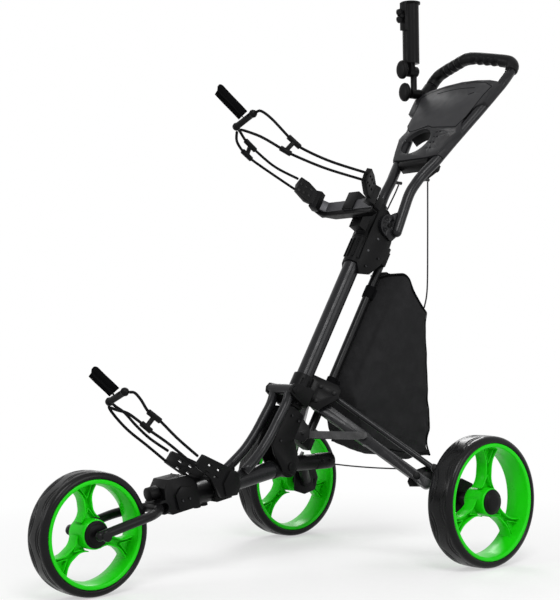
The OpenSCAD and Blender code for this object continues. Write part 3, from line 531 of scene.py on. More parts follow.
def point_outward(mesh: bpy.types.Mesh) -> None:
    """Merge doubled points and turn every face outward.

    Args:
        mesh: The mesh.
    """
    bm = bmesh.new()
    bm.from_mesh(mesh)
    bmesh.ops.remove_doubles(bm, verts=bm.verts, dist=1e-7)
    bmesh.ops.recalc_face_normals(bm, faces=bm.faces)
    bm.to_mesh(mesh)
    bm.free()


def make_piece(name: str, verts: Sequence[Vector], faces: Sequence[Face], finish: Finish,
               uvs: Optional[Sequence[Sequence[Tuple[float, float]]]] = None) -> bpy.types.Object:
    """Make a closed, smooth piece with one finish.

    Args:
        name: Name of the piece.
        verts: Corner points in metres.
        faces: Corner numbers of each face.
        finish: What it is made of.
        uvs: For each face, a UV pair for each corner.

    Returns:
        The piece.
    """
    mesh = bpy.data.meshes.new(name)
    mesh.from_pydata([tuple(v) for v in verts], [], [tuple(f) for f in faces])
    if uvs:
        layer = mesh.uv_layers.new(name="UVMap")
        flat = [pair for face in uvs for pair in face]
        for i, pair in enumerate(flat):
            layer.data[i].uv = pair
    mesh.materials.append(finish.material)
    smooth_faces(mesh)
    mesh.validate()
    mesh.update()
    piece = placed(name, mesh)
    point_outward(mesh)
    return piece


def grid_faces(rows: int, width: int, round_rows: bool = True, round_width: bool = True) -> List[Face]:
    """Return the faces between rows of points.

    Args:
        rows: Number of rows.
        width: Points in a row.
        round_rows: Whether the last row meets the first.
        round_width: Whether a row's last point meets its first.

    Returns:
        The four corner numbers of each face.
    """
    faces: List[Face] = []
    for i in range(rows if round_rows else rows - 1):
        j = (i + 1) % rows
        for c in range(width if round_width else width - 1):
            d = (c + 1) % width
            faces.append((i * width + c, i * width + d, j * width + d, j * width + c))
    return faces


def curve_points(points: Sequence[Vector]) -> List[Vector]:
    """Return a smooth run of points through the given ones.

    Args:
        points: Points that the run passes through.

    Returns:
        The run, from the first of them to the last.
    """
    run: List[Vector] = []
    last = len(points) - 1
    for i in range(last):
        a = points[max(i - 1, 0)]
        b, c = points[i], points[i + 1]
        d = points[min(i + 2, last)]
        tb = (c - a) * 0.5
        tc = (d - b) * 0.5
        for k in range(CURVE_STEPS):
            s = k / CURVE_STEPS
            run.append(b * (2 * s**3 - 3 * s**2 + 1) + tb * (s**3 - 2 * s**2 + s)
                       + c * (3 * s**2 - 2 * s**3) + tc * (s**3 - s**2))
    run.append(points[last].copy())
    return run


def length_of(points: Sequence[Vector]) -> float:
    """Return the length of a run of points."""
    return sum((b - a).length for a, b in zip(points, points[1:]))


def even_points(points: Sequence[Vector], count: int) -> List[Vector]:
    """Return points evenly spaced along a run.

    Args:
        points: The run.
        count: Number of points wanted.

    Returns:
        The points, with the run's own ends.
    """
    total = length_of(points)
    out, i, passed = [points[0].copy()], 0, 0.0
    for k in range(1, count - 1):
        goal = total * k / (count - 1)
        while passed + (points[i + 1] - points[i]).length < goal:
            passed += (points[i + 1] - points[i]).length
            i += 1
        span = (points[i + 1] - points[i]).length
        out.append(points[i].lerp(points[i + 1], (goal - passed) / span))
    out.append(points[-1].copy())
    return out


def ring(radius: float, sides: int = CORD_SIDES) -> List[Tuple[float, float]]:
    """Return a round section."""
    turns = [math.tau * i / sides for i in range(sides)]
    return [(radius * math.cos(turn), radius * math.sin(turn)) for turn in turns]


def strap_section(width: float, thick: float) -> List[Tuple[float, float]]:
    """Return a flat strap's section with rounded edges.

    Args:
        width: Width in metres.
        thick: Thickness in metres.

    Returns:
        The section's points.
    """
    w, t = width / 2, thick / 2
    return [(-w, -t * 0.5), (-w + t, -t), (w - t, -t), (w, -t * 0.5),
            (w, t * 0.5), (w - t, t), (-w + t, t), (-w, t * 0.5)]


def sweep(name: str, path: Sequence[Vector], section: Sequence[Tuple[float, float]], finish: Finish,
          up: Optional[Vector] = None,
          shape: Optional[Callable[[float, float, float], Tuple[float, float]]] = None
          ) -> bpy.types.Object:
    """Return a tube or strap that follows a path, with UVs in metres.

    Args:
        name: Name of the piece.
        path: Points that it follows.
        section: Outline across the path.
        finish: What it is made of.
        up: Direction that the section's second axis keeps near; carried along if left out.
        shape: Optional change of a section point, from (share, x, y) to (x, y).

    Returns:
        The piece.
    """
    n, k = len(path), len(section)
    heads = []
    for i in range(n):
        heads.append((path[min(i + 1, n - 1)] - path[max(i - 1, 0)]).normalized())
    second = up.copy() if up else heads[0].orthogonal()
    verts, stations, passed = [], [], 0.0
    for i in range(n):
        if i:
            passed += (path[i] - path[i - 1]).length
        stations.append(passed)
        second = ((up or second) - heads[i] * (up or second).dot(heads[i])).normalized()
        first = second.cross(heads[i])
        for x, y in section:
            if shape:
                x, y = shape(i / (n - 1), x, y)
            verts.append(path[i] + first * x + second * y)
    around = [0.0]
    for i in range(k):
        a, b = section[i], section[(i + 1) % k]
        around.append(around[-1] + math.hypot(b[0] - a[0], b[1] - a[1]))
    faces = grid_faces(n, k, round_rows=False)
    uvs = []
    for low, high in zip(stations, stations[1:]):
        for left, right in zip(around, around[1:]):
            uvs.append([(left, low), (right, low), (right, high), (left, high)])
    for row, order in ((0, range(k - 1, -1, -1)), (n - 1, range(k))):
        faces.append(tuple(row * k + c for c in order))
        uvs.append([section[c] for c in order])
    return make_piece(name, verts, faces, finish, uvs)


def lathe(name: str, profile: Sequence[Tuple[float, float]], centre: Vector, axis: Vector, steps: int,
          finish: Finish, closed: bool = True) -> bpy.types.Object:
    """Return a turned piece.

    Args:
        name: Name of the piece.
        profile: (radius, along) pairs in metres.
        centre: Middle of the piece.
        axis: Direction of its axle.
        steps: Number of steps round.
        finish: What it is made of.
        closed: Whether the profile is a loop; otherwise its ends lie on the axis.

    Returns:
        The piece.
    """
    turn = axis.to_track_quat("Z", "Y")
    verts: List[Vector] = []
    for i in range(steps):
        a = math.tau * i / steps
        for r, z in profile:
            verts.append(centre + turn @ Vector((r * math.cos(a), r * math.sin(a), z)))
    return make_piece(name, verts, grid_faces(steps, len(profile), round_width=closed), finish)


def applied(piece: bpy.types.Object) -> bpy.types.Object:
    """Turn a piece's modifiers into plain mesh.

    Args:
        piece: The piece.

    Returns:
        The same piece.
    """
    graph = bpy.context.evaluated_depsgraph_get()
    mesh = bpy.data.meshes.new_from_object(piece.evaluated_get(graph))
    piece.modifiers.clear()
    old = piece.data
    piece.data = mesh
    bpy.data.meshes.remove(old)
    return piece


def soften(piece: bpy.types.Object, width: float, angle: float = SHARP) -> None:
    """Give a piece small rounded edges and smooth shading by angle.

    Args:
        piece: The piece.
        width: Width of the rounding, in metres.
        angle: Least angle, in degrees, of an edge that is rounded.
    """
    bevel = piece.modifiers.new("rounded_edges", "BEVEL")
    bevel.width = width
    bevel.segments = 2
    bevel.limit_method = "ANGLE"
    bevel.angle_limit = math.radians(angle)
    bevel.harden_normals = False
    bevel.use_clamp_overlap = True
    applied(piece)
    smooth_faces(piece.data, angle)


BODY_OF: Dict[str, str] = {node: body for body, nodes in frame["record"]["behaviour"]["bodies"].items()
                           for node in nodes}


def ride_with(piece: bpy.types.Object, node: str) -> None:
    """Make a new piece move with the body that a node belongs to."""
    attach(piece, BODY_OF[node])


def stand_for(piece: bpy.types.Object, *nodes: str) -> None:
    """Make a new piece ride with construction nodes and replace them.

    Args:
        piece: The piece.
        *nodes: Names of the nodes, all on one body.
    """
    ride_with(piece, nodes[0])
    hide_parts(*nodes)
    LOG.info("%s stands for %s", piece.name, ", ".join(nodes))


def join_pieces(name: str, parts: Sequence[bpy.types.Object]) -> bpy.types.Object:
    """Make one piece of several, each with its own finish kept.

    Args:
        name: Name of the new piece.
        parts: The pieces, which it takes the place of.

    Returns:
        The new piece.
    """
    bm = bmesh.new()
    mesh = bpy.data.meshes.new(name)
    for part in parts:
        index = len(mesh.materials)
        mesh.materials.append(part.data.materials[0])
        start = len(bm.faces)
        bm.from_mesh(part.data)
        bm.faces.ensure_lookup_table()
        for face in bm.faces[start:]:
            face.material_index = index
        old = part.data
        bpy.data.objects.remove(part)
        bpy.data.meshes.remove(old)
    bm.to_mesh(mesh)
    bm.free()
    return placed(name, mesh)


# ---------------------------------------------------------------- hard pieces


@dataclass
class HardPieces:
    """The rigid construction nodes, each copied with rounded edges and dressed."""

    dress: Dict[Finish, Tuple[str, ...]]
    edge: Dict[str, float] = field(default_factory=dict)
    plain_edge: float = 0.0007

    def build(self) -> None:
        """Copy, round and dress every node in the list."""
        for finish, nodes in self.dress.items():
            for node in nodes:
                self.copy_of(node, finish, self.edge.get(node, self.plain_edge))

    def copy_of(self, node: str, finish: Finish, width: float) -> bpy.types.Object:
        """Return a rounded copy of one node.

        Args:
            node: Name of the node.
            finish: What it is made of.
            width: Rounding of its edges in metres, or 0 for none.

        Returns:
            The copy.
        """
        mesh = frame["nodes"][node].data.copy()
        piece = placed(node + "_shown", mesh)
        mesh.materials.clear()
        mesh.materials.append(finish.material)
        bm = bmesh.new()
        bm.from_mesh(mesh)
        bmesh.ops.remove_doubles(bm, verts=bm.verts, dist=2e-6)
        if width:
            bmesh.ops.dissolve_limit(bm, angle_limit=math.radians(0.6), verts=bm.verts, edges=bm.edges,
                                     delimit={"NORMAL"})
        bm.to_mesh(mesh)
        bm.free()
        if width:
            soften(piece, width)
        else:
            smooth_faces(mesh, SHARP)
            even = piece.modifiers.new("even_shading", "WEIGHTED_NORMAL")
            even.keep_sharp = True
            applied(piece)
        stand_for(piece, node)
        return piece


# ---------------------------------------------------------------- small repeated things


class StudKind(Enum):
    """Small things that repeat: (radius, height, socket sides, stretch along the run)."""

    SCREW = (0.0034, 0.0019, 4, 1.0)
    BOLT = (0.0058, 0.0042, 6, 1.0)
    RIVET = (0.0042, 0.0021, 0, 1.0)
    STITCH = (0.00045, 0.00038, 0, 2.9)


@dataclass(frozen=True)
class Studs:
    """A set of screws, rivets or stitches, set on points by a node tree."""

    name: str
    spots: Sequence[Vector]
    facing: Sequence[Vector]
    kind: StudKind
    finish: Finish
    run: Optional[Sequence[Vector]] = None
    scale: float = 1.0

    def tree(self) -> bpy.types.GeometryNodeTree:
        """Return the node tree that places one head on each point.

        Returns:
            The tree, made once for each kind.
        """
        made = bpy.data.node_groups.get("studs_" + self.kind.name.lower())
        if made:
            return made
        tree = bpy.data.node_groups.new("studs_" + self.kind.name.lower(), "GeometryNodeTree")
        face = tree.interface
        face.new_socket(name="Spots", in_out="INPUT", socket_type="NodeSocketGeometry")
        for name in ("Radius", "Height", "Stretch"):
            face.new_socket(name=name, in_out="INPUT", socket_type="NodeSocketFloat")
        face.new_socket(name="Finish", in_out="INPUT", socket_type="NodeSocketMaterial")
        face.new_socket(name="Heads", in_out="OUTPUT", socket_type="NodeSocketGeometry")
        new, link = tree.nodes.new, tree.links.new
        given, out = new("NodeGroupInput"), new("NodeGroupOutput")
        dome = new("GeometryNodeMeshUVSphere")
        small = self.kind is StudKind.STITCH
        dome.inputs["Segments"].default_value = 8 if small else 24
        dome.inputs["Rings"].default_value = 6 if small else 12
        dome.inputs["Radius"].default_value = 1.0
        shape = dome.outputs["Mesh"]
        if self.kind.value[2]:
            socket = new("GeometryNodeMeshCylinder")
            socket.inputs["Vertices"].default_value = self.kind.value[2]
            socket.inputs["Radius"].default_value = 0.5
            socket.inputs["Depth"].default_value = 1.0
            lift = new("GeometryNodeTransform")
            lift.inputs["Translation"].default_value = (0, 0, 0.95)
            link(socket.outputs["Mesh"], lift.inputs["Geometry"])
            cut = new("GeometryNodeMeshBoolean")
            cut.operation = "DIFFERENCE"
            link(shape, cut.inputs["Mesh 1"])
            link(lift.outputs["Geometry"], cut.inputs["Mesh 2"])
            shape = cut.outputs["Mesh"]
        long = new("ShaderNodeMath")
        long.operation = "MULTIPLY"
        link(given.outputs["Radius"], long.inputs[0])
        link(given.outputs["Stretch"], long.inputs[1])
        size = new("ShaderNodeCombineXYZ")
        link(long.outputs[0], size.inputs["X"])
        link(given.outputs["Radius"], size.inputs["Y"])
        link(given.outputs["Height"], size.inputs["Z"])
        ways = []
        for name in ("facing", "run"):
            way = new("GeometryNodeInputNamedAttribute")
            way.data_type = "FLOAT_VECTOR"
            way.inputs["Name"].default_value = name
            ways.append(way.outputs["Attribute"])
        stand = new("FunctionNodeAlignRotationToVector")
        stand.axis = "Z"
        link(ways[0], stand.inputs["Vector"])
        turn = new("FunctionNodeAlignRotationToVector")
        turn.axis = "X"
        turn.pivot_axis = "Z"
        link(stand.outputs["Rotation"], turn.inputs["Rotation"])
        link(ways[1], turn.inputs["Vector"])
        points = new("GeometryNodeMeshToPoints")
        link(given.outputs["Spots"], points.inputs["Mesh"])
        place = new("GeometryNodeInstanceOnPoints")
        link(points.outputs["Points"], place.inputs["Points"])
        link(shape, place.inputs["Instance"])
        link(turn.outputs["Rotation"], place.inputs["Rotation"])
        link(size.outputs["Vector"], place.inputs["Scale"])
        real = new("GeometryNodeRealizeInstances")
        link(place.outputs["Instances"], real.inputs["Geometry"])
        coat = new("GeometryNodeSetMaterial")
        link(real.outputs["Geometry"], coat.inputs["Geometry"])
        link(given.outputs["Finish"], coat.inputs["Material"])
        link(coat.outputs["Geometry"], out.inputs["Heads"])
        return tree

    def build(self) -> bpy.types.Object:
        """Make the set as one plain mesh.

        Returns:
            The piece.
        """
        mesh = bpy.data.meshes.new(self.name)
        mesh.from_pydata([tuple(p) for p in self.spots], [], [])
        runs = self.run or [ACROSS] * len(self.spots)
        for name, values in (("facing", self.facing), ("run", runs)):
            layer = mesh.attributes.new(name, "FLOAT_VECTOR", "POINT")
            for i, value in enumerate(values):
                layer.data[i].vector = value
        piece = placed(self.name, mesh)
        tree = self.tree()
        nodes = piece.modifiers.new("studs", "NODES")
        nodes.node_group = tree
        radius, height, _, stretch = self.kind.value
        wanted = {"Radius": radius * self.scale, "Height": height * self.scale, "Stretch": stretch,
                  "Finish": self.finish.material}
        for item in tree.interface.items_tree:
            if item.in_out == "INPUT" and item.name in wanted:
                nodes[item.identifier] = wanted[item.name]
        applied(piece)
        for name in ("facing", "run"):
            layer = piece.data.attributes.get(name)
            if layer:
                piece.data.attributes.remove(layer)
        piece.data.materials.clear()
        piece.data.materials.append(self.finish.material)
        piece.data.polygons.foreach_set("material_index", [0] * len(piece.data.polygons))
        smooth_faces(piece.data, 40)
        return piece


def stud_set(name: str, node: str, rows: Sequence[Tuple[Vector, Vector]], kind: StudKind,
             finish: Finish, scale: float = 1.0) -> None:
    """Set screws or rivets on one node.

    Args:
        name: Name of the set.
        node: Node that they ride with.
        rows: Spot and direction of each head.
        kind: Screw, bolt or rivet.
        finish: What they are made of.
        scale: Factor on their size.
    """
    spots = [spot for spot, _ in rows]
    ways = [way for _, way in rows]
    runs = [way.orthogonal() for way in ways]
    piece = Studs(name, spots, ways, kind, finish, runs, scale).build()
    ride_with(piece, node)


# ---------------------------------------------------------------- cloth helpers


def surface_of(piece: bpy.types.Object) -> BVHTree:
    """Return a search tree of the piece's faces."""
    return BVHTree.FromPolygons([v.co.copy() for v in piece.data.vertices],
                                [tuple(f.vertices) for f in piece.data.polygons])


def hug(tree: BVHTree, points: Sequence[Vector], lift: float) -> List[Vector]:
    """Return the points moved onto a surface and lifted off it.

    Args:
        tree: The surface.
        points: Points near it.
        lift: Height above it in metres.

    Returns:
        The moved points.
    """
    out = []
    for point in points:
        spot, normal, _, _ = tree.find_nearest(point)
        out.append(spot + normal * lift)
    return out


def box_uvs(piece: bpy.types.Object) -> None:
    """Lay UVs in metres on a piece from its faces' main directions.

    Args:
        piece: The piece.
    """
    mesh = piece.data
    layer = mesh.uv_layers.new(name="UVMap")
    for face in mesh.polygons:
        n = [abs(v) for v in face.normal]
        a, b = ((1, 2), (0, 2), (0, 1))[n.index(max(n))]
        for loop in face.loop_indices:
            co = mesh.vertices[mesh.loops[loop].vertex_index].co
            layer.data[loop].uv = (co[a], co[b])


def puff(piece: bpy.types.Object, pressure: float, cap: float) -> None:
    """Blow the piece up as cloth and keep each point near its place.

    Args:
        piece: Closed mesh of even faces.
        pressure: Pressure inside.
        cap: Most that a point may move, in metres.
    """
    steps = 20
    start = [v.co.copy() for v in piece.data.vertices]
    cloth = piece.modifiers.new("cloth", "CLOTH")
    cloth.settings.use_pressure = True
    cloth.settings.uniform_pressure_force = pressure
    cloth.settings.effector_weights.gravity = 0
    cloth.settings.quality = 5
    cloth.settings.mass = 0.3
    cloth.settings.tension_stiffness = 15
    cloth.settings.compression_stiffness = 15
    cloth.settings.bending_stiffness = 0.4
    cloth.point_cache.frame_start = 1
    cloth.point_cache.frame_end = steps
    scene = bpy.context.scene
    for i in range(1, steps + 1):
        scene.frame_set(i)
    applied(piece)
    scene.frame_set(1)
    for vertex, old in zip(piece.data.vertices, start):
        move = vertex.co - old
        if move.length > cap:
            vertex.co = old + move * (cap / move.length)


# ---------------------------------------------------------------- wheels


@dataclass(frozen=True)
class Wheel:
    """One wheel: a wide tyre with crescent grooves, a green rim with three open spokes, black caps.

    Sizes are in metres, read from the construction nodes where those have them.
    """

    name: str
    tyre_node: str
    rim_node: str
    turn: float
    both_caps: bool = False
    side: int = 1
    wall: float = 0.0155
    crescents: int = 10
    groove_size: float = 0.0016
    tread_share: float = 0.985
    spokes: int = 3
    spoke_depth: float = 0.014
    spoke_wall: float = 0.0030
    web: float = 0.0022
    rib: float = 0.0011
    hub: float = 0.0300
    bore: float = 0.0064
    reach: float = 0.0275

    @property
    def centre(self) -> Vector:
        """Return the middle of the wheel."""
        return middle(self.tyre_node)

    @property
    def radius(self) -> float:
        """Return the tyre's outer radius."""
        lo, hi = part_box(self.tyre_node)
        return (hi[2] - lo[2]) / 2

    @property
    def half(self) -> float:
        """Return half the tyre's width."""
        lo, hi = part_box(self.tyre_node)
        return (hi[0] - lo[0]) / 2

    def groove(self, angle: float, x: float, radius: float, wide: float) -> float:
        """Return the depth of the moulded crescents at a place on the tread.

        Args:
            angle: Angle round the wheel in radians.
            x: Place across the tread in metres from its middle.
            radius: The tyre's radius.
            wide: Half the tyre's width.

        Returns:
            The depth in metres.
        """
        depth = 0.0
        step = math.tau / self.crescents
        for side in (-1, 1):
            shift = 0.5 * step if side < 0 else 0.0
            near = round((angle - shift) / step) * step + shift
            run = (angle - near) * radius
            for reach, start, bow in ((0.036, 0.60, 0.34), (0.023, 0.66, 0.20)):
                if abs(run) >= reach:
                    continue
                share = run / reach
                line = side * wide * (start - bow * (1 - share * share))
                fade = 1 - share**6
                depth += self.groove_size * fade * math.exp(-((x - line) / self.groove_size) ** 2)
        return depth

    def tyre(self) -> None:
        """Build the tyre from its rounded section and grooves."""
        r, h, w, centre = self.radius, self.wall, self.half, self.centre
        tread = w * self.tread_share
        flat, steps, count = 0.70, 44, 252
        shoulder = [(-1.0, 0.80), (-0.985, 0.60), (-0.95, 0.36), (-0.88, 0.18), (-0.78, 0.07)]
        rows = [(side * tread, r - h * level) for side, level in shoulder]
        for i in range(steps + 1):
            x = flat * (2 * i / steps - 1)
            rows.append((x * tread, r - h * 0.045 * (abs(x) / flat) ** 3))
        rows += [(-side * tread, r - h * level) for side, level in reversed(shoulder)]
        rows += [(w * 0.93, r - h * 0.97), (-w * 0.93, r - h * 0.97)]
        verts = []
        for k in range(count):
            a = math.tau * k / count
            for x, radius in rows:
                grooved = radius
                if abs(x) < w * 0.82 and radius > r - h * 0.5:
                    grooved -= self.groove(a, x, r, w)
                verts.append(centre + Vector((x, grooved * math.cos(a), grooved * math.sin(a))))
        piece = make_piece(self.name + "_tyre", verts, grid_faces(count, len(rows)), Finish.TYRE)
        stand_for(piece, self.tyre_node)

    def spoke_half(self, share: float) -> float:
        """Return a spoke's half width, which grows toward the hub and toward the rim.

        Args:
            share: Share of its length, from hub to rim.

        Returns:
            The half width in metres.
        """
        foot = max(0.0, 1 - share / 0.34) ** 2
        head = max(0.0, (share - 0.52) / 0.48) ** 2
        return 0.0095 + 0.0125 * foot + 0.0185 * head

    def strip(self, left: Sequence[Vector], right: Sequence[Vector], deep: float) -> bpy.types.Object:
        """Make a flat plate between two lines.

        Args:
            left: Points of one line.
            right: Points of the other.
            deep: Reach to each side along the axle, in metres.

        Returns:
            The plate.
        """
        verts, faces = [], []
        for a, b in zip(left, right):
            for sign in (-1, 1):
                verts += [a + ACROSS * deep * sign, b + ACROSS * deep * sign]
        last = len(left) - 1
        for i in range(last):
            o, p = i * 4, i * 4 + 4
            faces += [(o, o + 1, p + 1, p), (o + 2, p + 2, p + 3, o + 3),
                      (o, p, p + 2, o + 2), (o + 1, o + 3, p + 3, p + 1)]
        faces += [(0, 2, 3, 1), (last * 4, last * 4 + 1, last * 4 + 3, last * 4 + 2)]
        return make_piece("strip", verts, faces, Finish.GREEN)

    def spoke(self, turn: float, inner: float, outer: float) -> List[bpy.types.Object]:
        """Make one spoke's walls, web and ribs.

        Args:
            turn: Its direction in radians, from straight up and over toward the front.
            inner: Radius at which it starts.
            outer: Radius at which it ends.

        Returns:
            Its plates.
        """
        depth, thick, steps = self.spoke_depth, self.spoke_wall, 16
        out = Vector((0, -math.sin(turn), math.cos(turn)))
        along = Vector((0, -math.cos(turn), -math.sin(turn)))
        centre = self.centre
        parts: List[bpy.types.Object] = []
        shares = [i / steps for i in range(steps + 1)]
        lines: Dict[Tuple[int, float], List[Vector]] = {}
        for side in (-1, 1):
            for inset in (0.0, thick):
                lines[(side, inset)] = [
                    centre + out * (inner + (outer - inner) * s)
                    + along * side * (self.spoke_half(s) - inset) for s in shares]
            parts.append(self.strip(lines[(side, 0.0)], lines[(side, thick)], depth))
        parts.append(self.strip(lines[(-1, thick)], lines[(1, thick)], self.web))
        for s0, s1, hub_end, rim_end in ((0.06, 0.34, 0.8, 0.0), (0.62, 0.97, 0.0, 0.62)):
            w0 = self.spoke_half(s0) - thick
            w1 = self.spoke_half(s1) - thick
            for side in (1, -1):
                p = centre + out * (inner + (outer - inner) * s0) + along * hub_end * w0 * side
                q = centre + out * (inner + (outer - inner) * s1) + along * rim_end * w1 * side
                half = along * self.rib
                parts.append(self.strip([p - half, q - half], [p + half, q + half], depth * 0.82))
        return parts

    def rim(self) -> None:
        """Build the barrel, hub, spokes and caps."""
        r = self.radius - self.wall
        w = self.half * 0.92
        barrel = [(r - 0.0002, -w), (r - 0.0002, w), (r - 0.0035, w + 0.0008), (r - 0.0078, w - 0.0004),
                  (r - 0.0092, w * 0.86), (r - 0.0105, w * 0.55), (r - 0.0128, w * 0.2),
                  (r - 0.0128, -w * 0.2), (r - 0.0105, -w * 0.55), (r - 0.0092, -w * 0.86),
                  (r - 0.0078, -w + 0.0004), (r - 0.0035, -w - 0.0008)]
        parts = [lathe("barrel", barrel, self.centre, ACROSS, 128, Finish.GREEN)]
        bore, reach, hub = self.bore, self.reach, self.hub
        profile = [(bore, -reach), (hub - 0.0035, -reach), (hub - 0.0008, -reach + 0.0025),
                   (hub, -reach * 0.6), (hub, reach * 0.6), (hub - 0.0008, reach - 0.0025),
                   (hub - 0.0035, reach), (bore, reach)]
        parts.append(lathe("hub", profile, self.centre, ACROSS, 64, Finish.GREEN))
        for k in range(self.spokes):
            turn = self.turn + math.tau * k / self.spokes
            parts += self.spoke(turn, hub - 0.0030, r - 0.0100)
        piece = join_pieces(self.name + "_rim", parts)
        soften(piece, 0.0006, 40)
        stand_for(piece, self.rim_node)
        for i, way in enumerate((self.side, -self.side) if self.both_caps else (self.side,)):
            self.cap(i, way)

    def cap(self, index: int, way: int) -> None:
        """Build a hub cap; with one on each side, the axle runs through both.

        Args:
            index: Number of the cap.
            way: Side that it faces, 1 or -1 along the axle.
        """
        low = self.reach - 0.001
        middle_radius = self.bore if self.both_caps else 0.0
        dome = [(middle_radius, 0.0), (0.0262, 0.0), (0.0270, 0.0012), (0.0262, 0.0036),
                (0.0216, 0.0046), (0.0208, 0.0062), (0.0190, 0.0074), (0.010, 0.0080),
                (middle_radius, 0.0080)]
        cap = lathe(f"{self.name}_cap_{index}", [(radius, low + rise) for radius, rise in dome],
                    self.centre, ACROSS * way, 64, Finish.PLASTIC, self.both_caps)
        soften(cap, 0.0003, 50)
        ride_with(cap, self.rim_node)

    def build(self) -> None:
        """Build the whole wheel."""
        self.tyre()
        self.rim()
        LOG.info("%s built", self.name)


WHEELS = (
    Wheel("wheel_front", "front_tyre", "front_wheel", math.radians(8), both_caps=True),
    Wheel("wheel_left", "rear_tyre_left", "rear_wheel_left", math.radians(-6)),
    Wheel("wheel_right", "rear_tyre_right", "rear_wheel_right", math.radians(11), side=-1),
)


# ---------------------------------------------------------------- grip


@dataclass(frozen=True)
class Grip:
    """Soft grip that follows the bend of the handle, with finger hollows beneath."""

    line: Tuple[Point, ...] = ((131, 0, 298.6), (129.6, -1.6, 312), (122, -5, 322), (108, -10.5, 327),
                               (60, -23.5, 330.5), (16, -34.5, 332.5), (0, -36, 332.5))
    radius: float = 0.0156
    hollows: int = 4
    hollow_start: float = 0.014
    hollow_end: float = 0.098
    hollow_depth: float = 0.30

    def build(self) -> None:
        """Build the grip, its end rings and its middle seam."""
        half = [HANDLE.at(x, y, z) for x, y, z in self.line]
        other = [HANDLE.at(-x, y, z) for x, y, z in reversed(self.line[:-1])]
        path = even_points(curve_points(half + other), 221)
        total = length_of(path)
        down = -HANDLE.third

        def shape(share: float, x: float, y: float) -> Tuple[float, float]:
            """Press a section point in by the hollows beneath, the middle seam and the end rings.

            Args:
                share: Share of the grip's length.
                x: Place across the section.
                y: Place along the section, positive on the under side.

            Returns:
                The new (x, y).
            """
            reach = abs(share - 0.5) * total
            factor = 1.0
            if y > 0 and self.hollow_start < reach < self.hollow_end:
                under = y / self.radius
                along = (reach - self.hollow_start) / (self.hollow_end - self.hollow_start)
                deep = 0.5 - 0.5 * math.cos(math.tau * along * self.hollows)
                factor -= self.hollow_depth * under**1.5 * deep
            if reach < 0.0012:
                factor *= 0.965
            end = min(share, 1 - share) * total
            if end < 0.005:
                factor *= 0.955 + 0.045 * math.sqrt(max(0.0, end / 0.005))
            elif 0.008 < end < 0.0095:
                factor *= 0.97
            return x * factor, y * factor

        grip = sweep("handle_grip", path, ring(self.radius, 28), Finish.GRIP, up=down, shape=shape)
        stand_for(grip, "grip")


# ---------------------------------------------------------------- cords and straps


def taut_cord(name: str, node: str, path: Sequence[Vector], diameter: float, finish: Finish) -> None:
    """Build a cord that is held at both ends, in place of a node's plain one.

    Args:
        name: Name of the cord.
        node: Construction node that it stands for.
        path: Points that it follows.
        diameter: Its thickness in metres.
        finish: What it is made of.
    """
    tube = sweep(name, path, ring(diameter / 2), finish)
    ride_with(tube, node)
    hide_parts(node)
    LOG.info("%s built, %.0f mm", name, length_of(path) / MM)


@dataclass(frozen=True)
class Cord:
    """One cord: the points that it follows, in millimetres of the axle frame."""

    name: str
    route: Tuple[Point, ...]
    diameter: float = 0.006
    finish: Finish = Finish.ELASTIC

    def build(self, node: str) -> None:
        """Build the cord in place of a node's plain one.

        Args:
            node: Construction node that it stands for.
        """
        raw = [GROUND.at(*p) for p in self.route]
        path = even_points(curve_points(raw), 15 + 6 * len(raw))
        taut_cord(self.name, node, path, self.diameter, self.finish)


CORDS: Dict[str, Tuple[Cord, ...]] = {
    "upper_cord_left": (
        Cord("upper_left_front", ((118, -135, 851), (104, -232, 872), (92, -307, 898), (88, -334, 918),
                                  (66, -361, 956), (48, -376, 974), (33.4, -378, 972.2))),
        Cord("upper_left_back", ((-27.1, -371, 943), (-8, -372, 938), (40, -368, 920), (84, -353, 893),
                                 (90, -331, 882), (104, -247, 856), (118, -145, 835)))),
    "upper_cord_right": (
        Cord("upper_right_front", ((-112, -135, 859), (-104, -211, 881), (-92, -279, 913),
                                   (-88, -308, 931), (-64, -342, 944), (-39, -371, 948.8))),
        Cord("upper_right_back", ((-42, -370, 940), (-66, -351, 924), (-94, -312, 908),
                                  (-98, -286, 893), (-110, -221, 868), (-117.6, -141.2, 835.3)))),
    "lower_cord_left": (
        Cord("lower_left_front", ((52, -556, 258), (52, -605, 296), (52, -648, 334), (52, -675, 353),
                                  (45, -688, 377), (38, -698, 391), (30.6, -705.4, 392.1))),
        Cord("lower_left_back", ((-22, -714, 360), (-2, -712, 356), (20, -702, 350), (48, -689, 331),
                                 (50, -669, 315), (50, -623, 285), (52, -563.4, 239)))),
    "lower_cord_right": (
        Cord("lower_right_front", ((-52, -555, 262), (-50, -602, 291), (-47, -638, 320),
                                   (-44, -666, 346), (-39, -690, 360), (-32.4, -704.1, 367.6))),
        Cord("lower_right_back", ((-35.9, -709.5, 365.1), (-42, -703, 355), (-50, -676, 330),
                                  (-54, -647, 306), (-56, -606, 277), (-54.5, -561, 242.2)))),
    "bag_cord_left": (
        Cord("bag_line_left", ((45, 134, 853.8), (45, 131, 710), (46, 126, 600), (48, 112.8, 556.8)),
             0.0036, Finish.LINE),),
    "bag_cord_right": (
        Cord("bag_line_right", ((-45, 128, 853.8), (-46, 116, 832), (-48, 85, 782), (-50, 50, 712),
                                (-49.5, 40, 668), (-49, 37.5, 642.7)), 0.0036, Finish.LINE),),
}


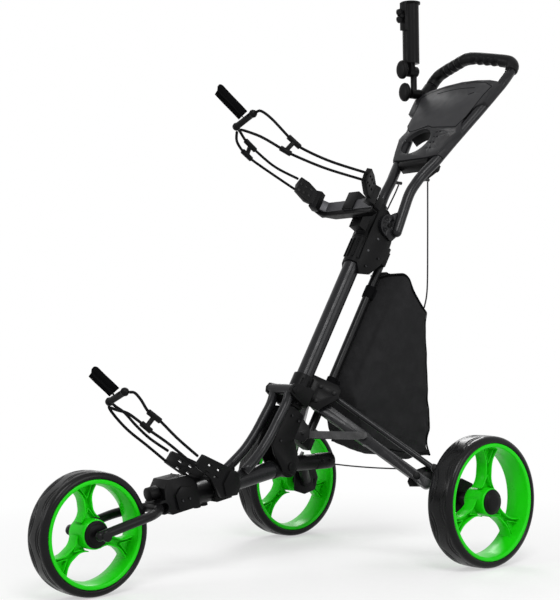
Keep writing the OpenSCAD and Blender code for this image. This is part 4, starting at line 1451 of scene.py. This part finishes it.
@dataclass(frozen=True)
class LegLine:
    """Line between the two rear legs, which sags a little in the middle."""

    node: str = "leg_cord"
    diameter: float = 0.0032
    dip: float = 0.005
    count: int = 25

    def build(self) -> None:
        """Build the line between the ends of its plain solid."""
        low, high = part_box(self.node)
        y, top, half = (low[1] + high[1]) / 2, high[2] - self.diameter / 2, high[0]
        path = []
        for i in range(self.count):
            x = -half + 2 * half * i / (self.count - 1)
            path.append(Vector((x, y, top - self.dip * (1 - (x / half) ** 2))))
        taut_cord("leg_line", self.node, path, self.diameter, Finish.LINE)


@dataclass(frozen=True)
class PullTab:
    """Folded webbing tab that loops round a buckle bar, with a sewn box near the bar."""

    name: str
    node: str
    start: Point
    end: Point
    width: float = 0.026
    thick: float = 0.0016

    def build(self) -> None:
        """Build the folded strap and its stitches."""
        a, b = GROUND.at(*self.start), GROUND.at(*self.end)
        way = (b - a).normalized()
        out = ACROSS.cross(way)
        gap = self.thick * 0.62
        start, steps = 0.0008, 22
        span = (b - a).length
        path = [a + way * start + out * gap * 1.4]
        for i in range(1, steps + 1):
            s = i / steps
            lift = gap * (1.0 + 0.25 * math.sin(9 * s))
            path.append(a + way * (start + (span - 0.003) * s) + out * lift)
        fold = a + way * (span - 0.0022)
        for k in range(1, 6):
            turn = math.pi * k / 6
            path.append(fold + out * gap * math.cos(turn) + way * gap * 1.3 * math.sin(turn))
        for i in range(steps, -1, -1):
            s = i / steps
            lift = gap * (1.0 + 0.2 * math.sin(7 * s))
            path.append(a + way * (start + (span - 0.003) * s) - out * lift)
        strap = sweep(self.name, path, strap_section(self.width, self.thick), Finish.WEBBING)
        stitches = self.stitches(a, way, out, gap)
        piece = join_pieces(self.name + "_sewn", [strap, stitches])
        stand_for(piece, self.node)

    def stitches(self, a: Vector, way: Vector, out: Vector, gap: float) -> bpy.types.Object:
        """Make a box of stitches on the face of the tab.

        Args:
            a: Start of the tab.
            way: Direction along it.
            out: Direction off its face.
            gap: Distance of the strap from the tab's middle plane.

        Returns:
            The stitches.
        """
        half = self.width / 2 - 0.003
        near, far = 0.005, 0.018
        rise = out * (gap * 1.45 + self.thick / 2)
        spots: List[Vector] = []
        for x0, d0, x1, d1, n in ((-half, near, -half, far, 5), (half, near, half, far, 5),
                                  (-half, near, half, near, 7), (-half, far, half, far, 7)):
            for i in range(n):
                s = (i + 0.5) / n
                spots.append(a + ACROSS * (x0 + (x1 - x0) * s) + way * (d0 + (d1 - d0) * s) + rise)
        return Studs("tab_stitches", spots, [out] * len(spots), StudKind.STITCH, Finish.THREAD).build()


TABS = (
    PullTab("upper_pull_tab", "upper_tab", (0, -386.2, 968.4), (0, -453, 1018)),
    PullTab("lower_pull_tab", "lower_tab", (0, -720.5, 390.7), (0, -771, 434)),
)


# ---------------------------------------------------------------- storage bag


@dataclass(frozen=True)
class StorageBag:
    """Cloth bag behind the upright: a soft filled shell with hem, piping, loops and an eyelet.

    The outline is its side view in millimetres of the axle frame, from the top front corner.
    """

    node: str = "storage_bag"
    outline: Tuple[Tuple[float, float], ...] = (
        (-4, 622), (6, 645), (22, 649), (42, 641), (60, 618), (84, 584), (116, 546), (115, 480),
        (121, 350), (125, 203), (98, 208), (20, 220), (-60, 236), (-95, 250), (-125, 330), (-130, 400))
    top: Tuple[Tuple[float, float], ...] = (
        (10, 646), (24, 649), (42, 641), (60, 618), (84, 584), (114, 548))
    rear: Tuple[Tuple[float, float], ...] = ((116, 546), (115, 480), (121, 350), (125, 206))
    low: Tuple[Tuple[float, float], ...] = ((123, 206), (98, 208), (20, 220), (-60, 236), (-92, 248))
    half: float = 0.062
    voxel: float = 0.005
    cap: float = 0.007
    recess: float = 0.016

    def cut(self, bm: bmesh.types.BMesh, x: float, q: float, normal: Tuple[float, float]) -> None:
        """Cut the block along the upright and remove what lies before the plane.

        Args:
            bm: The block.
            x: Place of the cut across the cart, in millimetres.
            q: Place of the cut behind the upright, in millimetres.
            normal: The plane's direction across and behind.
        """
        bmesh.ops.bisect_plane(bm, geom=[*bm.verts, *bm.edges, *bm.faces], dist=1e-7,
                               plane_co=UPRIGHT.at(x, q, 300), clear_inner=True,
                               plane_no=UPRIGHT.way(normal[0], normal[1], 0))
        edges = [e for e in bm.edges if e.is_boundary]
        bmesh.ops.holes_fill(bm, edges=edges, sides=0)

    def shell(self) -> bpy.types.Object:
        """Make the bag's block, rounded off toward the upright.

        Returns:
            The block, in even faces.
        """
        bm = bmesh.new()
        near = [bm.verts.new(GROUND.at(-self.half / MM, y, z)) for y, z in self.outline]
        far = [bm.verts.new(GROUND.at(self.half / MM, y, z)) for y, z in self.outline]
        bm.faces.new(near)
        bm.faces.new(list(reversed(far)))
        for i in range(len(near)):
            j = (i + 1) % len(near)
            bm.faces.new((near[j], near[i], far[i], far[j]))
        bmesh.ops.recalc_face_normals(bm, faces=bm.faces)
        self.cut(bm, 0, 92.5, (0, 1))
        for side in (-1, 1):
            self.cut(bm, side * 12, 92.5, (-side * 10, 38))
            self.cut(bm, side * 50, 102.5, (-side * 15, 15))
        bmesh.ops.triangulate(bm, faces=bm.faces)
        mesh = bpy.data.meshes.new("storage_bag_cloth")
        bm.to_mesh(mesh)
        bm.free()
        mesh.materials.append(Finish.CLOTH.material)
        piece = placed("storage_bag_cloth", mesh)
        remesh = piece.modifiers.new("even_faces", "REMESH")
        remesh.mode = "VOXEL"
        remesh.voxel_size = self.voxel
        smooth = piece.modifiers.new("relax", "SMOOTH")
        smooth.factor = 0.5
        smooth.iterations = 4
        return applied(piece)

    def settle(self, piece: bpy.types.Object) -> None:
        """Sag the bag: fill it out low down, hollow its top and crease its cloth.

        Args:
            piece: The bag's cloth.
        """
        a, b = GROUND.at(0, 25, 640), GROUND.at(0, 116, 548)
        slope = (b - a).normalized()
        up = ACROSS.cross(slope)
        if up.z < 0:
            up.negate()
        moves = []
        for vertex in piece.data.vertices:
            p, n = vertex.co, vertex.normal
            along = (p - a).dot(slope)
            below = (a - p).dot(up)
            move = Vector()
            if below < 0.02 and n.dot(up) > 0.5:
                edge = min(self.half - abs(p.x), along + 0.016, (b - a).length - along + 0.002)
                share = max(0.0, min(1.0, (edge - 0.010) / 0.022))
                move -= up * self.recess * share * share * (3 - 2 * share)
            low = max(0.0, min(1.0, (GROUND.at(0, 0, 420) - p).z / 0.2))
            rear = max(0.0, min(1.0, (p.y - GROUND.at(0, 20, 0).y) / 0.08))
            wave = noise.noise(Vector((p.x * 9, p.y * 14 + p.z * 16, p.z * 22 - p.y * 12)))
            fine = noise.noise(Vector((p.x * 26 + 3, p.y * 38 - p.z * 20, p.z * 46 + 7)))
            fold = 1 - abs(wave) * 2.4
            deep = 0.0048 * low * (0.35 + rear) + 0.0018
            move += n * (deep * (max(-0.5, fold) - 0.8) + 0.0011 * fine * (0.3 + low))
            moves.append(move)
        for vertex, move in zip(piece.data.vertices, moves):
            vertex.co = vertex.co + move

    def edge_line(self, pairs: Sequence[Tuple[float, float]], x: float, tree: BVHTree,
                  lift: float) -> List[Vector]:
        """Return a smooth line along the cloth.

        Args:
            pairs: Points that it passes near, in the side view.
            x: Place across the cart, in millimetres.
            tree: The cloth's surface.
            lift: Height above the cloth, in metres.

        Returns:
            The line's points.
        """
        raw = [GROUND.at(x, y, z) for y, z in pairs]
        path = even_points(curve_points(raw), max(24, int(length_of(raw) / 0.006)))
        return even_points(self.calm(hug(tree, path, lift)), len(path))

    def calm(self, path: List[Vector]) -> List[Vector]:
        """Return a line with its small kinks taken out.

        Args:
            path: The line's points.

        Returns:
            As many points, with the same ends.
        """
        for _ in range(3):
            path = [path[0]] + [(path[i - 1] + path[i] * 2 + path[i + 1]) / 4
                                for i in range(1, len(path) - 1)] + [path[-1]]
        return path

    def hem(self, tree: BVHTree) -> bpy.types.Object:
        """Make the hem round the bag's open top.

        Args:
            tree: The cloth's surface.

        Returns:
            The hem.
        """
        w = self.half / MM
        left = self.edge_line(self.top, w, tree, 0.0004)
        right = self.edge_line(self.top, -w, tree, 0.0004)
        across = even_points([left[-1], GROUND.at(w * 0.9, 117, 545), GROUND.at(0, 118, 544),
                              GROUND.at(-w * 0.9, 117, 545), right[-1]], 40)
        across = self.calm(hug(tree, across, 0.0006))
        front = even_points([left[0], GROUND.at(0, 2, 640), right[0]], 30)
        front = self.calm(hug(tree, front, 0.0006))
        loop = front[::-1][:-1] + left + across[1:-1] + right[::-1]
        return sweep("hem", self.calm(even_points(loop, 190)), ring(0.0036), Finish.PIPING)

    def seams(self, tree: BVHTree) -> bpy.types.Object:
        """Make the stitches along the bag's top and rear edges, on both sides.

        Args:
            tree: The cloth's surface.

        Returns:
            The stitches.
        """
        w = self.half / MM
        spots, ways, runs = [], [], []
        for side in (1, -1):
            centre = GROUND.at(side * w, 60, 430)
            for rows, inset in ((self.top, 0.012), (self.rear, 0.009)):
                raw = even_points(curve_points([GROUND.at(side * w, y, z) for y, z in rows]), 12)
                shifted = [p + (centre - p).normalized() * inset for p in raw]
                seam = even_points(shifted, int(length_of(shifted) / 0.0042))
                for p, q in zip(seam, seam[1:]):
                    spot, normal, _, _ = tree.find_nearest(p)
                    if abs(normal.x) < 0.6:
                        continue
                    spots.append(spot + normal * 0.0001)
                    ways.append(normal)
                    runs.append((q - p).normalized())
        return Studs("bag_stitches", spots, ways, StudKind.STITCH, Finish.THREAD, runs).build()

    def trim(self, tree: BVHTree) -> List[bpy.types.Object]:
        """Make the hem, piping, stitches and eyelet.

        Args:
            tree: The cloth's surface.

        Returns:
            Those pieces.
        """
        w = self.half / MM
        parts = [self.hem(tree)]
        for side in (1, -1):
            rear = self.edge_line(self.rear, side * w, tree, 0.0004)
            parts.append(sweep(f"rear_piping_{side + 1}", rear, ring(0.0021, 10), Finish.PIPING))
            under = self.edge_line(self.low, side * w, tree, 0.0002)
            parts.append(sweep(f"low_piping_{side + 1}", under, ring(0.0017, 10), Finish.PIPING))
        parts.append(self.seams(tree))
        spot, normal, _, _ = tree.find_nearest(GROUND.at(w, 104, 536))
        eyelet = [(0.0024, -0.0002), (0.0050, -0.0002), (0.0052, 0.0005), (0.0042, 0.0011),
                  (0.0028, 0.0009)]
        parts.append(lathe("eyelet", eyelet, spot, normal, 32, Finish.SCREW))
        return parts

    def loops(self) -> List[bpy.types.Object]:
        """Make the cloth loops that hold the bag on its rail.

        Returns:
            The loops.
        """
        parts = []
        radius, steps = 11.0, 32
        section = [(y, x) for x, y in strap_section(0.029, 0.0018)]
        for i, height in enumerate((252, 492)):
            path = [UPRIGHT.at(9, 95, height)]
            for k in range(steps + 1):
                turn = math.radians(-62 + 304 * k / steps)
                path.append(UPRIGHT.at(radius * math.cos(turn), 76 - radius * math.sin(turn), height))
            path.append(UPRIGHT.at(-9, 95, height))
            parts.append(sweep(f"rail_loop_{i}", even_points(path, 48), section, Finish.WEBBING,
                               up=UPRIGHT.third))
        return parts

    def build(self) -> None:
        """Build the bag and everything sewn to it."""
        cloth = self.shell()
        puff(cloth, 4.0, self.cap)
        self.settle(cloth)
        finer = cloth.modifiers.new("finer", "SUBSURF")
        finer.levels = 1
        applied(cloth)
        box_uvs(cloth)
        smooth_faces(cloth.data)
        tree = surface_of(cloth)
        trim = join_pieces("storage_bag_trim", self.trim(tree) + self.loops())
        stand_for(cloth, self.node)
        ride_with(trim, self.node)
        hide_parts(self.node)


# ---------------------------------------------------------------- small fittings


@dataclass(frozen=True)
class OvalKnob:
    """Hand knob of the umbrella holder: an oval paddle that reaches a little further up than down, domed
    in front.
    """

    node: str
    y: float
    z: float
    x: float = -134.0
    reach: float = 23.5
    stem: float = 11.6

    def outline(self, turn: float) -> float:
        """Return how far the paddle reaches at an angle.

        Args:
            turn: The angle in radians.

        Returns:
            The distance in millimetres.
        """
        narrow = self.reach * 0.74
        oval = self.reach * narrow / math.hypot(narrow * math.cos(turn), self.reach * math.sin(turn))
        return oval * (1 + 0.07 * math.cos(turn))

    def build(self) -> None:
        """Build the knob and its stem."""
        rows = ((0.0, 0.78), (1.2, 0.93), (3.2, 1.0), (8.6, 1.0), (11.2, 0.93), (13.0, 0.74), (14.0, 0.40))
        count = 64
        verts: List[Vector] = []
        for depth, share in rows:
            for i in range(count):
                turn = math.tau * i / count
                r = self.outline(turn) * share
                verts.append(GROUND.at(self.x + r * math.sin(turn), self.y - depth,
                                       self.z + r * math.cos(turn)))
        faces = grid_faces(len(rows), count, round_rows=False)
        last = (len(rows) - 1) * count
        faces += [tuple(range(count)), tuple(last + i for i in range(count))]
        head = make_piece("head", verts, faces, Finish.PLASTIC)
        low, high, radius = -1.0 * MM, self.stem * MM, 7.8 * MM
        shaft = [(0.0, low), (radius, low), (radius, high), (0.0, high)]
        stem = lathe("stem", shaft, GROUND.at(self.x, self.y, self.z), Vector((0, 1, 0)), 40,
                     Finish.PLASTIC, False)
        piece = join_pieces(self.node + "_paddle", [head, stem])
        piece.data.set_sharp_from_angle(angle=math.radians(50))
        stand_for(piece, self.node)


KNOBS = (OvalKnob("umbrella_knob_top", 243, 1156), OvalKnob("umbrella_knob_low", 251, 1100))


@dataclass(frozen=True)
class ConsoleTrim:
    """Small things on the console: the long arc slot of the lid with a painted shadow strip in it, a
    painted shadow line round the lid, and the screws.
    """

    face: float = -15.3
    lid_face: float = -16.2
    seam: Tuple[Tuple[float, float], ...] = (
        (-99, 132), (-88, 118), (-76, 108), (-50, 113), (-22, 121), (-6, 113), (77, 101), (92, 132),
        (106, 206), (116, 232), (90, 248), (48, 257), (0, 261), (-48, 257), (-90, 248), (-116, 232),
        (-106, 200), (-99, 132))
    arc: Tuple[Tuple[float, float], ...] = ((-63.6, 240.4), (-36, 243.6), (-7.5, 244.9), (26, 242.6),
                                            (61.7, 237.4))
    screws: Tuple[Tuple[float, float, float], ...] = ((67.8, 72.5, 1.55), (-70.1, 74.0, 0.9))

    def build(self) -> None:
        """Build the slot's painted shadow strip, the painted shadow line round the lid and the screws."""
        out = -HANDLE.second
        # painted shadow: a near-black ribbon just off the console face, where the lid meets the body
        round_lid = [HANDLE.at(x * 1.006, self.face, 181 + (z - 181) * 1.008) for x, z in self.seam]
        line = [(-0.0011, -0.0012), (0.0011, -0.0012), (0.0011, 0.0002), (-0.0011, 0.0002)]
        gap = sweep("painted_seam_shadow", even_points(round_lid, 160), line, Finish.PAINTED_SLOT_SHADE, up=out)
        ride_with(gap, "console_body")
        # painted shadow: a near-black ribbon on the lid face along the arc slot, standing for the shade
        # inside it
        raw = [HANDLE.at(x, self.lid_face - 0.02, z) for x, z in self.arc]
        path = even_points(curve_points(raw), 48)
        section = [(-0.0010, -0.0002), (0.0010, -0.0002), (0.0010, 0.0001), (-0.0010, 0.0001)]
        slot = sweep("painted_slot_shadow", path, section, Finish.PAINTED_SLOT_SHADE, up=out)
        ride_with(slot, "console_lid")
        for i, (x, z, scale) in enumerate(self.screws):
            stud_set(f"console_screw_{i}", "console_body", [(HANDLE.at(x, self.face, z), out)],
                     StudKind.SCREW, Finish.STEEL, scale)


@dataclass(frozen=True)
class Fitting:
    """Bolts or rivets in a row on one node, given in one of the cart's local frames."""

    node: str
    place: Place
    spots: Tuple[Point, ...]
    kind: StudKind = StudKind.BOLT
    finish: Finish = Finish.SCREW
    scale: float = 1.0
    way: Optional[Point] = None

    def build(self, index: int) -> None:
        """Build the row; without a direction each head faces away from the middle plane.

        Args:
            index: Number of the row.
        """
        rows = []
        for a, b, c in self.spots:
            facing = self.place.way(*self.way) if self.way else Vector((math.copysign(1, a), 0, 0))
            rows.append((self.place.at(a, b, c), facing))
        stud_set(f"heads_{index}_{self.node}", self.node, rows, self.kind, self.finish,
                 self.scale)


def both(*spots: Point) -> Tuple[Point, ...]:
    """Return the spots and their mirror images across the cart."""
    return tuple(spots) + tuple((-a, b, c) for a, b, c in spots)


FITTINGS = (
    Fitting("upper_bracket", UPRIGHT,
            both((28.2, 14, 524), (28.2, 40, 560), (28.2, 2, 640), (28.2, 26, 655))),
    Fitting("foot_housing", UPRIGHT,
            both((26.9, -12, 66), (26.9, -10, 128), (26.9, 12, 126), (26.9, 44, 36))),
    Fitting("upper_bracket", UPRIGHT, both((28.2, 4, 560), (28.2, 18, 600)), StudKind.RIVET, scale=0.8),
    Fitting("front_block", LOWER, both((31, 280, 4), (31, 298, 4)), scale=0.85),
    Fitting("front_block", LOWER, ((-12, 286, 51.4), (12, 286, 51.4)), way=(0, 0, 1), scale=0.7),
    Fitting("lower_cradle", LOWER, both((37, 180, -6), (37, 197, -6)), StudKind.RIVET, Finish.STEEL, 0.8),
)


# ---------------------------------------------------------------- studio


@dataclass(frozen=True)
class Studio:
    """Plain pale floor, soft lamps and the camera."""

    eye: Point = (2276.1, -2221.1, 519.8)
    azimuth: float = 49.67
    elevation: float = -1.06
    roll: float = -0.704
    lens: float = 82.24

    def camera(self) -> None:
        """Place the camera."""
        az, el, roll = (math.radians(v) for v in (self.azimuth, self.elevation, self.roll))
        back = Vector((math.sin(az) * math.cos(el), -math.cos(az) * math.cos(el), math.sin(el)))
        right0 = Vector((math.cos(az), math.sin(az), 0))
        up0 = back.cross(right0)
        right = right0 * math.cos(roll) + up0 * math.sin(roll)
        up = up0 * math.cos(roll) - right0 * math.sin(roll)
        data = bpy.data.cameras.new("camera")
        data.lens = self.lens
        data.sensor_width = 36
        data.clip_end = 60
        cam = placed("camera", data)
        turn = Matrix((right, up, back)).transposed().to_4x4()
        cam.matrix_world = Matrix.Translation(GROUND.at(*self.eye)) @ turn
        bpy.context.scene.camera = cam

    def white_for_camera(self, nodes: bpy.types.Nodes, links: bpy.types.NodeLinks,
                         seen: bpy.types.NodeSocket, lit: bpy.types.NodeSocket,
                         far: Optional[bpy.types.NodeSocket] = None) -> bpy.types.NodeSocket:
        """Return a shader that is seen white by the camera and in gloss, and lit otherwise.

        Args:
            nodes: Nodes of the material or world.
            links: Its links.
            seen: Shader that the camera sees.
            lit: Shader that takes part in the lighting.
            far: Optional share of the white, from 0 to 1.

        Returns:
            The mixed shader's socket.
        """
        path = nodes.new("ShaderNodeLightPath")
        share = path.outputs["Is Camera Ray"]
        for name in ("Is Glossy Ray", "Is Transmission Ray"):
            most = nodes.new("ShaderNodeMath")
            most.operation = "MAXIMUM"
            links.new(share, most.inputs[0])
            links.new(path.outputs[name], most.inputs[1])
            share = most.outputs[0]
        if far is not None:
            only = nodes.new("ShaderNodeMath")
            only.operation = "MULTIPLY"
            links.new(share, only.inputs[0])
            links.new(far, only.inputs[1])
            share = only.outputs[0]
        mix = nodes.new("ShaderNodeMixShader")
        links.new(share, mix.inputs[0])
        links.new(lit, mix.inputs[1])
        links.new(seen, mix.inputs[2])
        return mix.outputs[0]

    def world(self) -> None:
        """Light the scene softly and evenly, with a white background."""
        world = bpy.data.worlds.new("studio")
        world.use_nodes = True
        nodes, links = world.node_tree.nodes, world.node_tree.links
        lit = nodes["Background"]
        lit.inputs["Color"].default_value = (1, 1, 1, 1)
        lit.inputs["Strength"].default_value = 0.42
        seen = nodes.new("ShaderNodeBackground")
        seen.inputs["Strength"].default_value = 1.0
        seen.inputs["Color"].default_value = (1, 1, 1, 1)
        out = self.white_for_camera(nodes, links, seen.outputs[0], lit.outputs[0])
        links.new(out, nodes["World Output"].inputs["Surface"])
        bpy.context.scene.world = world

    def floor(self) -> None:
        """Lay a pale floor that keeps the cart's shadow."""
        size = 9.0
        corners = [Vector((x * size, y * size, 0)) for x, y in ((-1, -1), (1, -1), (1, 1), (-1, 1))]
        mesh = bpy.data.meshes.new("floor")
        mesh.from_pydata([tuple(c) for c in corners], [], [(0, 1, 2, 3)])
        floor = placed("floor", mesh)
        t = Tree("floor_paper")
        grain = t.noise(t.coords(), 60, 3)
        t.join(t.blend(grain, (0.93, 0.93, 0.93), (0.95, 0.95, 0.95)), t.shader.inputs["Base Color"])
        t.set(Roughness=0.9, Specular_IOR_Level=0.0)
        reach = t.add("ShaderNodeVectorMath", operation="LENGTH")
        t.join(t.coords(), reach.inputs[0])
        far = t.between(reach.outputs["Value"], 0.5, 1.0, 0.5, 1.3)
        white = t.add("ShaderNodeEmission")
        white.inputs["Strength"].default_value = 1.0
        out = self.white_for_camera(t.nodes, t.links, white.outputs[0], t.shader.outputs[0], far)
        t.join(out, t.nodes["Material Output"].inputs["Surface"])
        mesh.materials.append(t.material)
        floor.location.z = -0.0005

    def lamps(self) -> None:
        """Hang the soft lamps."""
        for name, spot, size, power in (
            ("key", (2.2, -1.4, 3.0), 1.3, 62),
            ("fill", (3.6, 0.9, 1.5), 1.6, 30),
            ("back", (-2.4, 2.4, 2.6), 1.3, 46),
            ("front", (-1.4, -3.4, 2.0), 1.2, 30),
        ):
            data = bpy.data.lights.new(name, "AREA")
            data.energy = power
            data.size = size
            lamp = placed(name, data)
            lamp.location = spot
            aim = Vector((0, 0.05, 0.6)) - Vector(spot)
            lamp.rotation_euler = aim.to_track_quat("-Z", "Y").to_euler()

    def build(self) -> None:
        """Set up the camera, world, floor and lamps."""
        bpy.context.scene.view_settings.view_transform = "Standard"
        self.camera()
        self.world()
        self.floor()
        self.lamps()


ROUND_TUBES = ("lower_tube", "upright_tube", "strut_yoke", "link_rod_left", "link_rod_right",
               "handle_tube", "bag_rail", "link_bar_left", "link_bar_right", "front_fork",
               "umbrella_elbow", "umbrella_tube")


def main() -> None:
    """Build the cart's pieces in order."""
    Studio().build()
    HardPieces({
        Finish.GRAPHITE: ("lower_tube", "upright_tube", "leg_left", "leg_right", "strut_yoke",
                          "link_rod_left", "link_rod_right", "handle_tube"),
        Finish.DARK_METAL: ("bag_rail", "link_bar_left", "link_bar_right", "front_fork"),
        Finish.BAND: ("upper_band",),
        Finish.CONSOLE: ("console_body",),
        Finish.LID: ("console_lid",),
        Finish.PLASTIC: ("front_block", "tracking_knob", "tube_hinge", "lower_cradle", "lower_pad_left",
                         "lower_pad_right", "lower_slider", "lower_buckle", "collar", "foot_housing",
                         "hub_bracket_left", "hub_bracket_right", "upper_bracket", "cradle_box",
                         "upper_pad_left", "upper_pad_right", "upper_slider_left", "upper_slider_right",
                         "upper_buckle", "console_mount", "release_lever", "umbrella_clamp",
                         "umbrella_elbow", "umbrella_tube", "umbrella_screw"),
    }, {"console_lid": 0.0012, "console_body": 0.002, **{node: 0.0 for node in ROUND_TUBES}}).build()
    for wheel in WHEELS:
        wheel.build()
    Grip().build()
    for node, cords in CORDS.items():
        for cord in cords:
            cord.build(node)
    for tab in TABS:
        tab.build()
    LegLine().build()
    for knob in KNOBS:
        knob.build()
    ConsoleTrim().build()
    for i, row in enumerate(FITTINGS):
        row.build(i)
    StorageBag().build()


if __name__ == "__main__":
    main()
